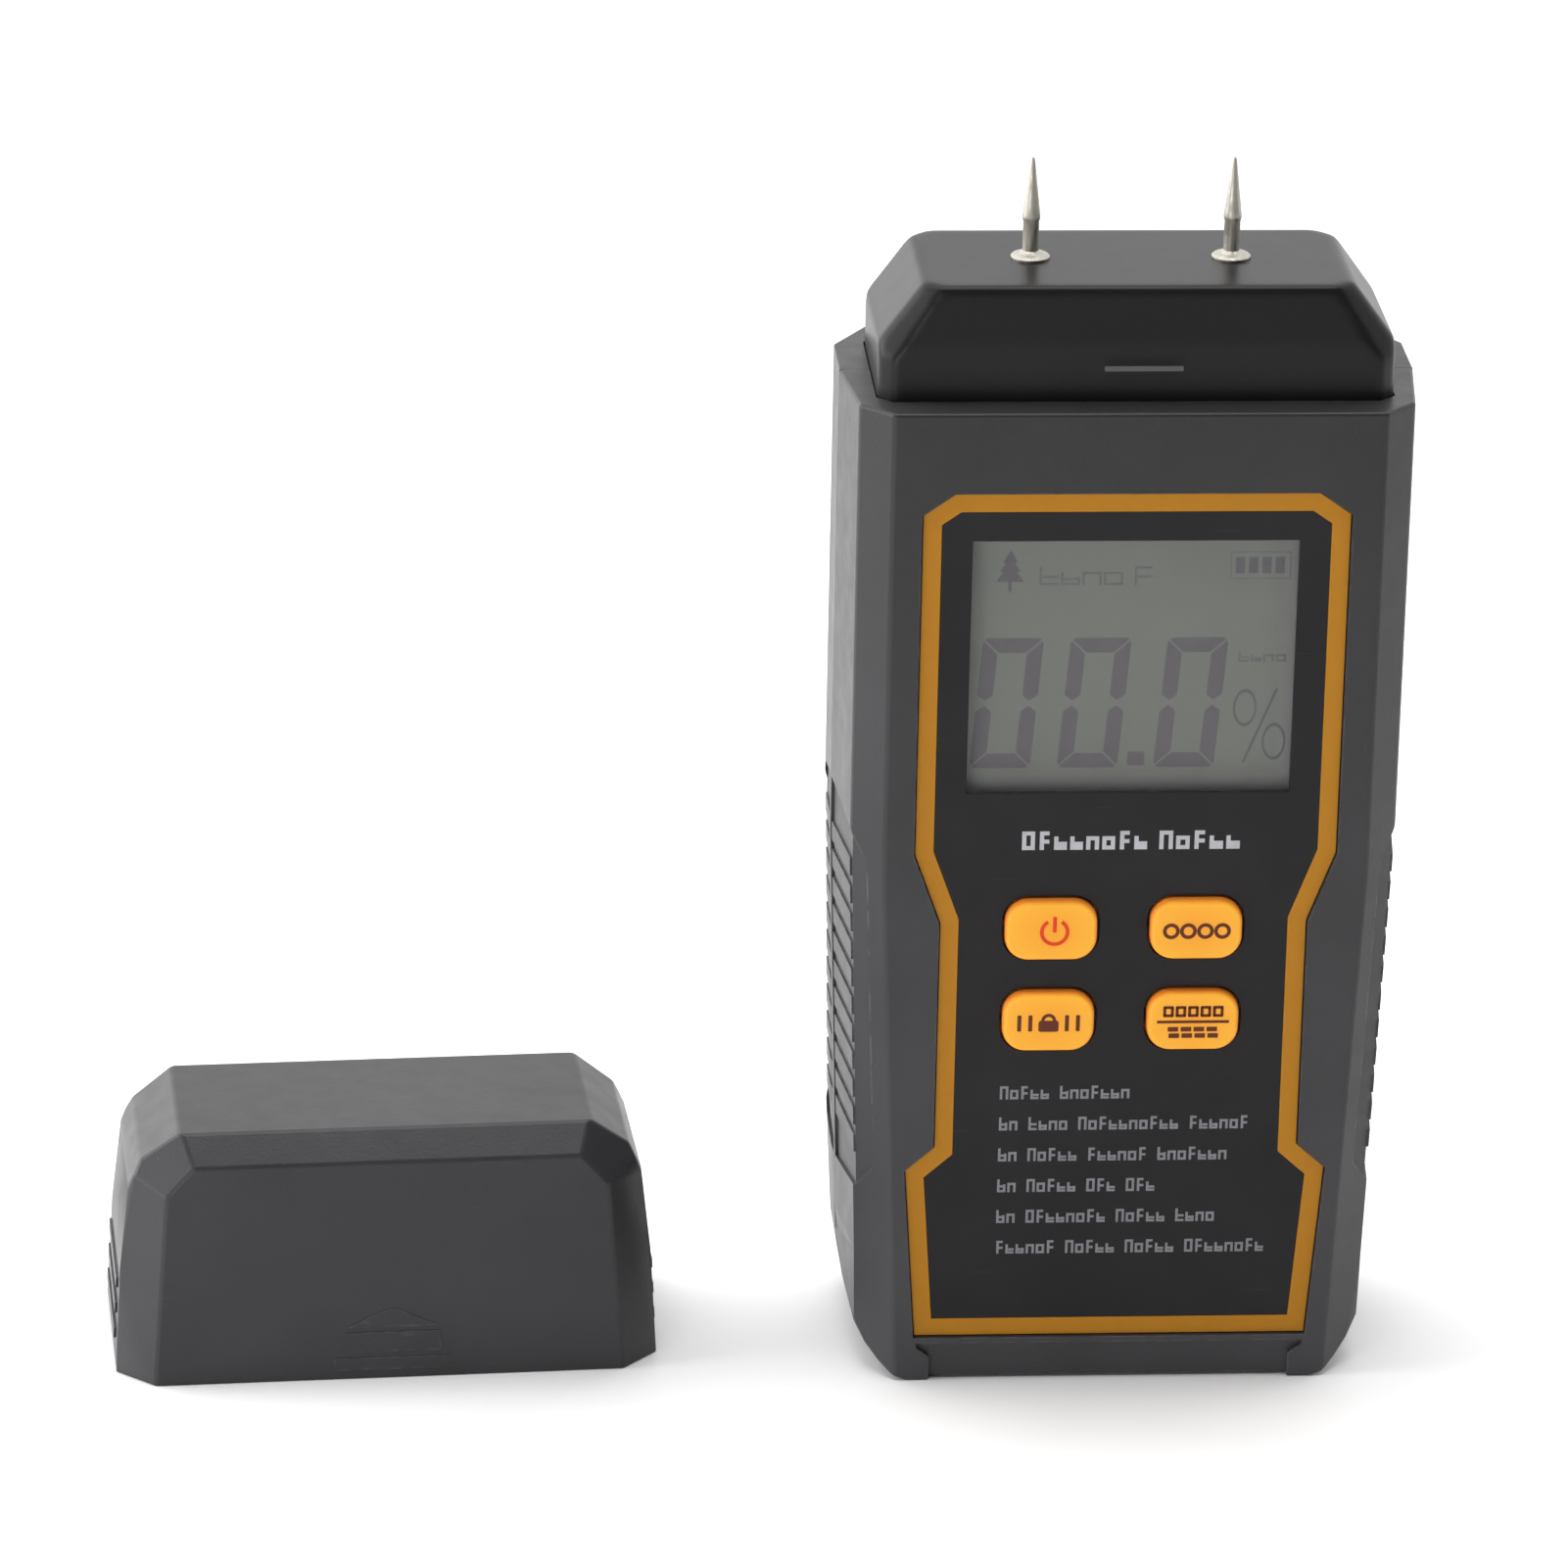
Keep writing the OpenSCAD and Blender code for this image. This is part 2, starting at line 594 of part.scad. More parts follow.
// The cap's outer form, shrunk by d
module cap_form(d, z0) {
  intersection() {
    along_y(mirrored([[cap_hx - 7.3 - 0.5 * d, cap_h - d], [cap_hx - 3 - d, cap_h - 3.2 - 0.6 * d],
      [cap_hx - 1.7 - d, cap_h - 6], [cap_hx - 0.6 - d, 12], [cap_hx - d, z0]]), -40, 40);
    along_x(mirrored([[9.7 - 0.5 * d, cap_h - d], [12.8 - d, cap_h - 2.85 - 0.6 * d],
      [15.2 - d, z0]]), -60, 60);
    slant(45, mirrored([[25.75 - d, cap_h], [29.1 - d, z0]]));
    slant(-45, mirrored([[25.75 - d, cap_h], [29.1 - d, z0]]));
    slant(53.2, mirrored([[21.16 - 1.2 * d, cap_h], [30 - 1.2 * d, cap_h - 13.9], [31, z0]]));
    slant(-53.2, mirrored([[21.16 - 1.2 * d, cap_h], [30 - 1.2 * d, cap_h - 13.9], [31, z0]]));
  }
}
module pin_cap() color([0.235, 0.24, 0.245])
  cap_place() {
    difference() {
      union() {
        cap_form(0, 0);
        // Low ribs on the ends
        intersection() {
          cap_form(-0.3, 0);
          for (i = [0:2])
            box(-40, 40, -8, 8, 2.8 + cap_rib_pitch * i, 4 + cap_rib_pitch * i);
        }
      }
      cap_form(cap_wall, -0.5);
    }
    // Ribs that grip the probe head
    for (x = [-14, 14]) {
      box(x - 0.6, x + 0.6, 11.45, 13.8, 1, 11);
      box(x - 0.6, x + 0.6, -13.8, -11.45, 1, 11);
    }
  }

front_case();
rear_case();
probe_head();
left_grip_front();
left_grip_rear();
right_grip_front();
right_grip_rear();
overlay_border();
front_overlay();
display_window();
lcd_glass();
lcd_reflector();
lcd_frame();
zebra_strips();
keypad_sheet();
circuit_board();
key_pads();
controller_chip();
amplifier_chip();
crystal_can();
filter_capacitors();
trim_resistor();
probe_connector();
battery_connector();
board_screws();
case_screws();
pin_socket_left();
pin_socket_right();
electrode_pin_left();
electrode_pin_right();
probe_lead_left();
probe_lead_right();
battery_lead_positive();
battery_lead_negative();
battery_1();
battery_2();
battery_3();
battery_terminals();
battery_springs();
contact_plates();
key_power();
key_power_pill();
key_wood();
key_wood_pill();
key_hold();
key_hold_pill();
key_wall();
key_wall_pill();
battery_door();
door_pad();
pin_cap();
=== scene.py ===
"""Looks of the two-pin moisture meter and its loose pin cap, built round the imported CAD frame."""
import json
import math

import bmesh
import bpy
from mathutils import Matrix, Vector


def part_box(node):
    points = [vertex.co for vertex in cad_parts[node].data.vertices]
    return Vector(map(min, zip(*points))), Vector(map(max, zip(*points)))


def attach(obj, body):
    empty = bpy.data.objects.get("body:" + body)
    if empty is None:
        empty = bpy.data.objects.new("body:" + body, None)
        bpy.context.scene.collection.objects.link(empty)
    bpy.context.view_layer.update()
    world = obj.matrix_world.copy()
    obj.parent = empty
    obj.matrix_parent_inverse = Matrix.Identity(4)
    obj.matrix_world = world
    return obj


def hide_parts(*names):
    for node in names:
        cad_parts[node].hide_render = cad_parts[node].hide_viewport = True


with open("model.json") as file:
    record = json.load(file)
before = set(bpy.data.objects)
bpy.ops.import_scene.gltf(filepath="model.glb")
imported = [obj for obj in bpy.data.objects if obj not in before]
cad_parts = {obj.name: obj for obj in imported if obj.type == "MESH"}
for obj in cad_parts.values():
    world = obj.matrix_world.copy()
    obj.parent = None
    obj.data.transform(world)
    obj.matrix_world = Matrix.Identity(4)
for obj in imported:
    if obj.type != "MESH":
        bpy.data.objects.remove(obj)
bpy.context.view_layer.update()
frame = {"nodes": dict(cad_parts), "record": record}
NODES = frame["nodes"]
BODY_OF = {node: body for body, nodes in frame["record"]["behaviour"]["bodies"].items() for node in nodes}
SLOT_OF = {part["node"]: part["material_slot"] for part in frame["record"]["subparts"]}
MM = 0.001
REPLACED = set()     # CAD nodes that a piece made here stands for


# ---------------------------------------------------------------- camera
SENSOR, LENS = 36, 177.84                       # mm
PITCH, ROLL, YAW = 21.07, -1.06, 3.97           # degrees: looking down, tilted, turned about the meter
ASIDE, AIM_HEIGHT, DISTANCE = 36.04, 63.97, 850.7   # mm: left of the meter, height looked at, how far off
NEAREST, FURTHEST = 0.05, 20                    # metres


def make_camera():
    """Looks down on the meter a little from its left, turned by YAW about the meter's own axis."""
    cam = bpy.data.objects.new("camera", bpy.data.cameras.new("camera"))
    bpy.context.collection.objects.link(cam)
    pitch, roll, yaw = map(math.radians, (PITCH, ROLL, YAW))
    forward = Vector((0, math.cos(pitch), -math.sin(pitch)))
    up = Vector((0, math.sin(pitch), math.cos(pitch)))
    right = Vector((1, 0, 0))
    x = math.cos(roll) * right - math.sin(roll) * up
    y = math.sin(roll) * right + math.cos(roll) * up
    place = Vector((-ASIDE, -DISTANCE * math.cos(pitch), AIM_HEIGHT + DISTANCE * math.sin(pitch)))
    turn = Matrix.Rotation(-yaw, 3, "Z")
    pose = Matrix((turn @ x, turn @ y, turn @ -forward)).transposed().to_4x4()
    pose.translation = turn @ place * MM
    cam.matrix_world = pose
    cam.data.sensor_width = SENSOR
    cam.data.lens = LENS
    cam.data.clip_start, cam.data.clip_end = NEAREST, FURTHEST
    bpy.context.scene.camera = cam


# ---------------------------------------------------------------- materials
def linear(color):
    """A colour as it looks on screen, turned into the linear values that shaders take."""
    return (*[c / 12.92 if c <= 0.04045 else ((c + 0.055) / 1.055) ** 2.4 for c in color[:3]], 1)


class Look:
    """One node material: a Principled shader fed by procedural textures in object space, sizes in mm."""

    def __init__(self, name, rough=0.5, metal=0.0, ior=1.45):
        self.mat = bpy.data.materials.new(name)
        self.mat.use_nodes = True
        self.tree = self.mat.node_tree
        self.shader = self.tree.nodes["Principled BSDF"]
        self.coord = self.add("ShaderNodeTexCoord").outputs["Object"]
        self.set("Roughness", rough)
        self.set("Metallic", metal)
        self.set("IOR", ior)
        self.height = None

    def add(self, kind, **props):
        """Makes a shader node and sets its plain properties."""
        node = self.tree.nodes.new(kind)
        for key, value in props.items():
            setattr(node, key, value)
        return node

    def feed(self, socket, value):
        """Links a socket to another one, or gives it a plain value."""
        if isinstance(value, bpy.types.NodeSocket):
            self.tree.links.new(value, socket)
        else:
            socket.default_value = value

    def set(self, name, value):
        self.feed(self.shader.inputs[name], value)

    def stretched(self, stretch):
        """Object space scaled along each axis; below 1 draws a texture out along that axis."""
        node = self.add("ShaderNodeMapping")
        self.feed(node.inputs["Vector"], self.coord)
        node.inputs["Scale"].default_value = stretch
        return node.outputs["Vector"]

    def noise(self, size, detail, stretch=(1, 1, 1)):
        """Noise whose features are about size millimetres across."""
        node = self.add("ShaderNodeTexNoise")
        self.feed(node.inputs["Vector"], self.stretched(stretch))
        node.inputs["Scale"].default_value = 1 / (size * MM)
        node.inputs["Detail"].default_value = detail
        return node.outputs[0]

    def cells(self, size, feature="F1", stretch=(1, 1, 1)):
        """Distance within cells that are about size millimetres across."""
        node = self.add("ShaderNodeTexVoronoi", feature=feature)
        self.feed(node.inputs["Vector"], self.stretched(stretch))
        node.inputs["Scale"].default_value = 1 / (size * MM)
        return node.outputs["Distance"]

    def remap(self, value, low, high, to_low=0.0, to_high=1.0):
        """Carries the range low to high over to to_low to to_high, and no further."""
        node = self.add("ShaderNodeMapRange")
        for socket, number in zip(list(node.inputs)[:5], (value, low, high, to_low, to_high)):
            self.feed(socket, number)
        return node.outputs[0]

    def combine(self, a, b, operation):
        node = self.add("ShaderNodeMath", operation=operation)
        self.feed(node.inputs[0], a)
        self.feed(node.inputs[1], b)
        return node.outputs[0]

    def mix(self, factor, a, b):
        """Colour a where factor is 0, b where it is 1; plain colours are given as seen on screen."""
        node = self.add("ShaderNodeMix", data_type="RGBA")
        self.feed(node.inputs["Factor"], factor)
        for name, value in (("A", a), ("B", b)):
            socket = [s for s in node.inputs if s.name == name and s.type == "RGBA"][0]
            self.feed(socket, value if isinstance(value, bpy.types.NodeSocket) else linear(value))
        return [s for s in node.outputs if s.type == "RGBA"][0]

    def clouds(self, size, detail, dark, light):
        """Drifts between two colours in patches about size millimetres across."""
        return self.mix(self.remap(self.noise(size, detail), 0.35, 0.65), dark, light)

    def gloss(self, size, detail, smoothest, roughest):
        """Lets the roughness drift in patches about size millimetres across."""
        self.set("Roughness", self.remap(self.noise(size, detail), 0.3, 0.7, smoothest, roughest))

    def edges(self, radius):
        """1 on edges sharper than the given radius in mm, 0 on open faces."""
        bevel = self.add("ShaderNodeBevel", samples=6)
        bevel.inputs["Radius"].default_value = radius * MM
        geometry = self.add("ShaderNodeNewGeometry")
        dot = self.add("ShaderNodeVectorMath", operation="DOT_PRODUCT")
        self.feed(dot.inputs[0], bevel.outputs[0])
        self.feed(dot.inputs[1], geometry.outputs["Normal"])
        return self.remap(dot.outputs["Value"], 0.98, 0.8)

    def axis(self, name):
        """One coordinate of object space, in metres."""
        split = self.add("ShaderNodeSeparateXYZ")
        self.feed(split.inputs[0], self.coord)
        return split.outputs[name]

    def bump(self, height, depth, strength):
        """Adds a relief of the given depth in mm to whatever relief there is."""
        node = self.add("ShaderNodeBump")
        node.inputs["Strength"].default_value = strength
        node.inputs["Distance"].default_value = depth * MM
        self.feed(node.inputs["Height"], height)
        if self.height is not None:
            self.feed(node.inputs["Normal"], self.height)
        self.height = node.outputs["Normal"]
        self.set("Normal", self.height)


PAINTED_LIGHT_TOP = 0.11    # metres above the floor, up to which the painted light changes: paler at the foot, darker from here up
RUBBER_IOR = 1.41


def moulded(name, color, rough, grain=0.35, depth=0.03, edge_wear_and_highlight=0.35, wear_and_highlight_colour=(0.46, 0.46, 0.47), scratches=0.3,
            drift=0.05, shine=0.4, sheen=0.0, vary=0.04, painted_foot_light=0.0):
    """Moulded plastic: cloudy tint, spark-eroded grain, hair scratches and paler edges, partly scuffing and
    partly painted highlight.

    grain and depth are the relief's size and height in mm. edge_wear_and_highlight and scratches say how
    strongly the colour of scuffs and painted highlight shows; drift, vary and painted_foot_light are the
    swings of colour, of roughness and of painted light, paler at the foot and darker up high.
    """
    look = Look(name, rough)
    look.set("Specular IOR Level", shine)
    look.set("Sheen Weight", sheen)
    look.set("Sheen Roughness", 0.3)
    dark = [c * (1 - drift) for c in color]
    light = [min(1, c * (1 + drift)) for c in color]
    tint = look.clouds(14, 1, dark, light)
    speck = look.noise(grain, 3)
    tint = look.mix(look.remap(speck, 0.3, 0.8, 0.0, 0.6), tint, light)
    long_marks = look.noise(0.5, 1, (0.1, 1, 1.2))
    cross_marks = look.noise(0.45, 1, (0.9, 1, 0.14))
    patchy = look.remap(look.noise(9, 2), 0.5, 0.7)
    long_marks = look.remap(long_marks, 0.74, 0.8, 0.0, 0.7)
    cross_marks = look.remap(cross_marks, 0.75, 0.8, 0.0, 0.6)
    marks = look.combine(look.combine(long_marks, cross_marks, "ADD"), patchy, "MULTIPLY")
    tint = look.mix(look.combine(marks, scratches, "MULTIPLY"), tint, wear_and_highlight_colour)
    # Paler edges: partly scuffing, partly a painted highlight along the rounded arrises.
    wear_and_highlight_patches = look.remap(look.noise(1.6, 4), 0.42, 0.62, 0.0, edge_wear_and_highlight)
    rubbed_and_highlit_edges = look.combine(look.edges(0.35), wear_and_highlight_patches, "MULTIPLY")
    # Painted light: paler towards the foot and darker up high, standing in for light thrown up from the
    # floor.
    if painted_foot_light:
        height = look.remap(look.axis("Z"), 0.0, PAINTED_LIGHT_TOP, 1 + painted_foot_light, 1 - painted_foot_light)
        scaled = look.add("ShaderNodeVectorMath", operation="SCALE")
        look.feed(scaled.inputs[0], tint)
        look.feed(scaled.inputs["Scale"], height)
        tint = scaled.outputs[0]
    look.set("Base Color", look.mix(rubbed_and_highlit_edges, tint, wear_and_highlight_colour))
    look.gloss(3, 4, rough - vary, rough + vary)
    look.bump(speck, depth, 0.7)
    look.bump(look.noise(9, 1), 0.004, 0.3)
    return look.mat


def soft_skin(look, tint, rough, sheen):
    """What each rubber-like skin has: a soft sheen, slow drift of gloss and a dust-fine tooth."""
    look.set("Base Color", tint)
    look.gloss(0.8, 3, rough - 0.05, rough + 0.07)
    look.set("Sheen Weight", sheen)
    look.bump(look.noise(0.12, 2), 0.008, 0.6)
    return look.mat


def rubber(name, color, rough, sheen=0.0):
    """Rubber, sleeve or wire skin of one colour that drifts slowly."""
    look = Look(name, rough, ior=RUBBER_IOR)
    darker = [c * 0.93 for c in color]
    return soft_skin(look, look.clouds(2.4, 3, darker, color), rough, sheen)


def key_silicone():
    """Bright dyed silicone; painted light and shade: the front glows and pales to its rim, darker in the
    middle; flanks painted shade.
    """
    color, painted_flank_shade, rough, painted_glow = (0.955, 0.672, 0.16), (1.0, 0.58, 0.13), 0.5, 0.09
    look = Look("silicone", rough, ior=RUBBER_IOR)
    # Painted light and shade on a key's face: darker in its middle, paler towards its rim, as if the face
    # were domed.
    away = look.add("ShaderNodeVectorMath", operation="DISTANCE")
    look.feed(away.inputs[0], look.add("ShaderNodeTexCoord").outputs["Generated"])
    look.feed(away.inputs[1], (0.5, 0.1, 0.5))
    rim = [min(1, c * k) for c, k in zip(color, (1, 1.03, 1.12))]
    painted_shade_middle = [c * k for c, k in zip(color, (0.985, 0.93, 0.8))]
    tint = look.mix(look.remap(away.outputs["Value"], 0.12, 0.45), painted_shade_middle, rim)
    # The front faces take the face tint and the painted glowing light; the side walls take the painted shade
    # of the flanks.
    normal = look.add("ShaderNodeSeparateXYZ")
    look.feed(normal.inputs[0], look.add("ShaderNodeNewGeometry").outputs["Normal"])
    faces_front = look.remap(normal.outputs["Y"], -0.94, -0.6, 1.0, 0.0)
    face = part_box("key_power")[0].y
    stands_out = look.remap(look.axis("Y"), face + 0.25 * MM, face + 0.65 * MM, 1.0, 0.0)
    front = look.combine(faces_front, stands_out, "MULTIPLY")
    # Painted glowing light: the key's front gives off light, though it is no lamp.
    look.set("Emission Color", linear((color[0], color[1] * 0.88, color[2] * 0.5)))
    look.set("Emission Strength", look.combine(front, painted_glow, "MULTIPLY"))
    look.set("Subsurface Weight", 0.1)
    look.set("Subsurface Radius", (1.0, 0.45, 0.1))
    look.set("Subsurface Scale", 0.8 * MM)
    return soft_skin(look, look.mix(front, painted_flank_shade, tint), rough, 0.05)


def metal(name, color, rough, brushed=(1, 1, 1), tarnish=0.15, relief=0.004):
    """Plated or turned metal: fine lay along one direction, slight tarnish in patches."""
    look = Look(name, rough, 1.0)
    lay = look.noise(0.25, 4, brushed)
    dull = [c * 0.72 for c in color]
    patches = look.remap(look.noise(1.8, 4), 0.45, 0.75, 0.0, tarnish)
    look.set("Base Color", look.mix(patches, color, dull))
    look.set("Roughness", look.remap(lay, 0.3, 0.7, rough * 0.7, rough * 1.5))
    look.bump(lay, relief, 0.5)
    return look.mat


def ink(name, color, rough, drift=0.05, shine=0.35):
    """Screen-printed ink: a very slight dot texture and thickness drift."""
    look = Look(name, rough)
    look.set("Specular IOR Level", shine)
    darker = [c * (1 - drift) for c in color]
    look.set("Base Color", look.clouds(1.2, 4, darker, color))
    look.gloss(0.3, 2, rough - 0.04, rough + 0.06)
    look.bump(look.noise(0.15, 2), 0.004, 0.5)
    return look.mat


def panel_film():
    """Black satin film: fine matt tooth and a few hairlines."""
    look = Look("panel_film", 0.42)
    look.set("Specular IOR Level", 0.2)
    tint = look.clouds(18, 3, (0.115, 0.11, 0.118), (0.135, 0.128, 0.136))
    hair = look.remap(look.noise(0.4, 1, (0.04, 1, 1)), 0.76, 0.8, 0.0, 0.25)
    look.set("Base Color", look.mix(hair, tint, (0.26, 0.25, 0.26)))
    look.gloss(4, 3, 0.38, 0.5)
    look.bump(look.noise(0.22, 3), 0.006, 0.6)
    return look.mat


def lcd_glass():
    """Grey-green twisted-nematic glass with painted light, paler along the lower and right edges of its
    window, where those edges cast shade.
    """
    low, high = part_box("display_window")
    look = Look("lcd", 0.32)
    base = look.clouds(9, 2, (0.51, 0.525, 0.495), (0.525, 0.54, 0.51))
    mesh_lines = look.cells(0.35, stretch=(1, 0.01, 1))
    base = look.mix(look.remap(mesh_lines, 0.2, 0.9, 0.0, 0.06), base, (0.49, 0.51, 0.49))
    # Painted light: paler towards the window's lower and right edges, lifting the shade that those edges cast
    # on the glass.
    below = look.remap(look.axis("Z"), low.z + 0.1 * MM, low.z + 1.7 * MM, 1.0, 0.0)
    beside = look.remap(look.axis("X"), high.x - 1.7 * MM, high.x + 0.5 * MM)
    painted_edge_light = look.combine(below, beside, "MAXIMUM")
    look.set("Base Color", look.mix(painted_edge_light, base, (0.62, 0.61, 0.615)))
    look.gloss(2, 3, 0.28, 0.38)
    look.bump(look.noise(0.1, 2), 0.003, 0.5)
    return look.mat


def clear_film():
    """The hard-coated window: mostly clear, with a soft reflection and faint rubbing marks."""
    look = Look("window_film", 0.22)
    look.set("Base Color", linear((0.3, 0.31, 0.3)))
    look.set("Alpha", look.remap(look.noise(0.35, 2, (0.08, 1, 1)), 0.62, 0.8, 0.13, 0.17))
    look.gloss(3, 3, 0.18, 0.28)
    look.bump(look.noise(6, 2), 0.01, 0.3)
    return look.mat


def board_mask():
    """Solder mask over copper: raised tracks show as paler green lines."""
    look = Look("board_laminate", 0.3)
    tracks = look.cells(3.2, "DISTANCE_TO_EDGE", (1, 1, 0.55))
    line = look.remap(tracks, 0.05, 0.09, 1.0, 0.0)
    base = look.clouds(6, 2, (0.05, 0.28, 0.13), (0.07, 0.33, 0.16))
    look.set("Base Color", look.mix(line, base, (0.12, 0.45, 0.2)))
    look.gloss(1, 3, 0.24, 0.4)
    look.bump(line, 0.035, 0.8)
    return look.mat


def cell_jacket():
    """Printed sleeve of a cell: blue with faint crease lines."""
    look = Look("cell_jacket", 0.28)
    base = look.clouds(8, 2, (0.1, 0.24, 0.5), (0.14, 0.3, 0.58))
    crease = look.remap(look.noise(0.7, 3, (1, 1, 0.12)), 0.66, 0.8, 0.0, 0.5)
    look.set("Base Color", look.mix(crease, base, (0.4, 0.5, 0.66)))
    look.gloss(2, 3, 0.22, 0.36)
    look.set("Coat Weight", 0.3)
    look.bump(look.noise(1.5, 3), 0.01, 0.4)
    return look.mat


def foam():
    """Dark open-pored foam."""
    look = Look("foam", 0.9)
    pores = look.cells(0.35)
    look.set("Base Color", look.mix(look.remap(pores, 0.1, 0.6), (0.05, 0.05, 0.05), (0.17, 0.17, 0.17)))
    look.gloss(1, 2, 0.85, 0.97)
    look.bump(pores, 0.15, 0.9)
    return look.mat


def strip_layers():
    """Elastomer connector: thin dark layers through pink silicone."""
    look = Look("elastomer_strip", 0.6)
    wave = look.add("ShaderNodeTexWave", wave_type="BANDS", bands_direction="X")
    look.feed(wave.inputs["Vector"], look.coord)
    wave.inputs["Scale"].default_value = 1 / (1.6 * MM)
    layers = look.remap(wave.outputs["Fac"], 0.35, 0.65)
    look.set("Base Color", look.mix(layers, (0.6, 0.35, 0.37), (0.14, 0.12, 0.12)))
    look.gloss(0.5, 2, 0.55, 0.7)
    look.bump(look.noise(0.2, 2), 0.01, 0.5)
    return look.mat


def make_looks():
    """All materials by name; a CAD node's material slot is looked up here."""
    return {
        "case_plastic": moulded("case_plastic", (0.19, 0.188, 0.197), 0.42, sheen=0.12, painted_foot_light=0.38),
        "cap_plastic": moulded("cap_plastic", (0.189, 0.187, 0.197), 0.42, edge_wear_and_highlight=0.3, sheen=0.12),
        "grip_plastic": moulded("grip_plastic", (0.21, 0.207, 0.215), 0.5, edge_wear_and_highlight=0.5, sheen=0.12),
        "head_plastic": moulded("head_plastic", (0.1, 0.1, 0.104), 0.33, grain=0.25, depth=0.008, edge_wear_and_highlight=0.15,
                                wear_and_highlight_colour=(0.36, 0.36, 0.37), scratches=0.08, shine=0.22, vary=0.01),
        "border_ink": ink("border_ink", (0.705, 0.475, 0.1), 0.45, drift=0.015, shine=0.2),
        "panel_film": panel_film(),
        "window_film": clear_film(),
        "lcd": lcd_glass(),
        "lcd_ink": ink("lcd_ink", (0.455, 0.44, 0.46), 0.35),
        "lcd_faint": ink("lcd_faint", (0.485, 0.485, 0.485), 0.35),
        "text_ink": ink("text_ink", (0.5, 0.5, 0.52), 0.5),
        "title_ink": ink("title_ink", (0.72, 0.72, 0.74), 0.5),
        "power_ink": ink("power_ink", (0.9, 0.24, 0.06), 0.5),
        "legend_ink": ink("legend_ink", (0.38, 0.14, 0.04), 0.5),
        "mark_ink": ink("mark_ink", (0.36, 0.36, 0.37), 0.45),
        "reflector_foil": metal("reflector_foil", (0.8, 0.81, 0.8), 0.4, (1, 1, 0.1)),
        "light_plastic": moulded("light_plastic", (0.84, 0.83, 0.79), 0.45, edge_wear_and_highlight=0.1, wear_and_highlight_colour=(0.9, 0.9, 0.88),
                                 scratches=0.1, drift=0.03),
        "elastomer_strip": strip_layers(),
        "silicone": key_silicone(),
        "carbon": rubber("carbon", (0.09, 0.09, 0.09), 0.75),
        "board_laminate": board_mask(),
        "gold_plate": metal("gold_plate", (0.9, 0.72, 0.34), 0.25),
        "chip_epoxy": moulded("chip_epoxy", (0.07, 0.07, 0.075), 0.55, grain=0.12, depth=0.01, edge_wear_and_highlight=0.1,
                              wear_and_highlight_colour=(0.25, 0.25, 0.25), scratches=0.0),
        "component_sleeve": rubber("component_sleeve", (0.1, 0.12, 0.32), 0.32),
        "trimmer_plastic": rubber("trimmer_plastic", (0.1, 0.2, 0.6), 0.35),
        "bare_steel": metal("bare_steel", (0.77, 0.77, 0.76), 0.3, (1, 1, 0.1)),
        "dark_steel": metal("dark_steel", (0.25, 0.25, 0.26), 0.4, tarnish=0.5),
        "socket_brass": metal("socket_brass", (0.8, 0.64, 0.34), 0.3, (1, 1, 6)),
        "nickel": metal("nickel", (0.68, 0.665, 0.63), 0.45, (1, 1, 0.2), 0.12, relief=0.0003),
        "red_insulation": rubber("red_insulation", (0.72, 0.08, 0.06), 0.4, 0.05),
        "black_insulation": rubber("black_insulation", (0.1, 0.1, 0.11), 0.4, 0.05),
        "cell_jacket": cell_jacket(),
        "cell_band": metal("cell_band", (0.78, 0.6, 0.36), 0.3, (1, 1, 0.1)),
        "foam": foam(),
    }


# ---------------------------------------------------------------- mesh helpers
OUTER_SLACK = 0.05                      # mm
ROUNDED_FROM, SHARP_FROM = 18, 30       # degrees between the two faces of an edge


def piece(name, bm, body, looks, stands_for=(), smooth=True):
    """Turns a bmesh into an object that rides on a body, with the given materials."""
    bmesh.ops.recalc_face_normals(bm, faces=bm.faces)
    mesh = bpy.data.meshes.new(name)
    bm.to_mesh(mesh)
    bm.free()
    if smooth:
        mesh.polygons.foreach_set("use_smooth", [True] * len(mesh.polygons))
    obj = bpy.data.objects.new(name, mesh)
    bpy.context.collection.objects.link(obj)
    for look in looks:
        mesh.materials.append(look)
    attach(obj, body)
    if stands_for:
        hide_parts(*stands_for)
        REPLACED.update(stands_for)
    return obj


def weighted(obj):
    """Keeps flat faces flat beside rounded edges."""
    modifier = obj.modifiers.new("flat_faces", "WEIGHTED_NORMAL")
    modifier.keep_sharp = True
    modifier.weight = 80


def node_copy(node):
    """The CAD node's mesh with its split corners joined and its flat faces made whole."""
    bm = bmesh.new()
    bm.from_mesh(NODES[node].data)
    bmesh.ops.remove_doubles(bm, verts=bm.verts, dist=0.03 * MM)
    bmesh.ops.dissolve_limit(bm, angle_limit=math.radians(0.3), verts=bm.verts, edges=bm.edges)
    return bm


def mid(edge):
    """An edge's middle, in mm."""
    return (edge.verts[0].co + edge.verts[1].co) / (2 * MM)


def outer_faces(bm):
    """The faces that have the whole piece behind them, give or take OUTER_SLACK."""
    points = [v.co for v in bm.verts]
    found = set()
    for face in bm.faces:
        reach = face.verts[0].co.dot(face.normal) + OUTER_SLACK * MM
        if all(p.dot(face.normal) < reach for p in points):
            found.add(face)
    return found


def rounding(bm, groups, widest):
    """Gives each convex edge the width of the first group that wants it; other corners stay sharp."""
    weight = bm.edges.layers.float.new("bevel_weight_edge")
    for edge in bm.edges:
        angle = edge.calc_face_angle_signed(0) if edge.is_manifold else 0
        edge.smooth = abs(angle) < math.radians(SHARP_FROM)
        if angle < math.radians(ROUNDED_FROM):
            continue
        for width, wanted in groups:
            if wanted(edge):
                edge[weight] = width / widest
                edge.smooth = True
                break


CORNER_STEPS = 4
INK, LCD_INK, PRINT_SUNK = 0.03, 0.02, 0.01     # thickness of printing and its depth in the face, mm


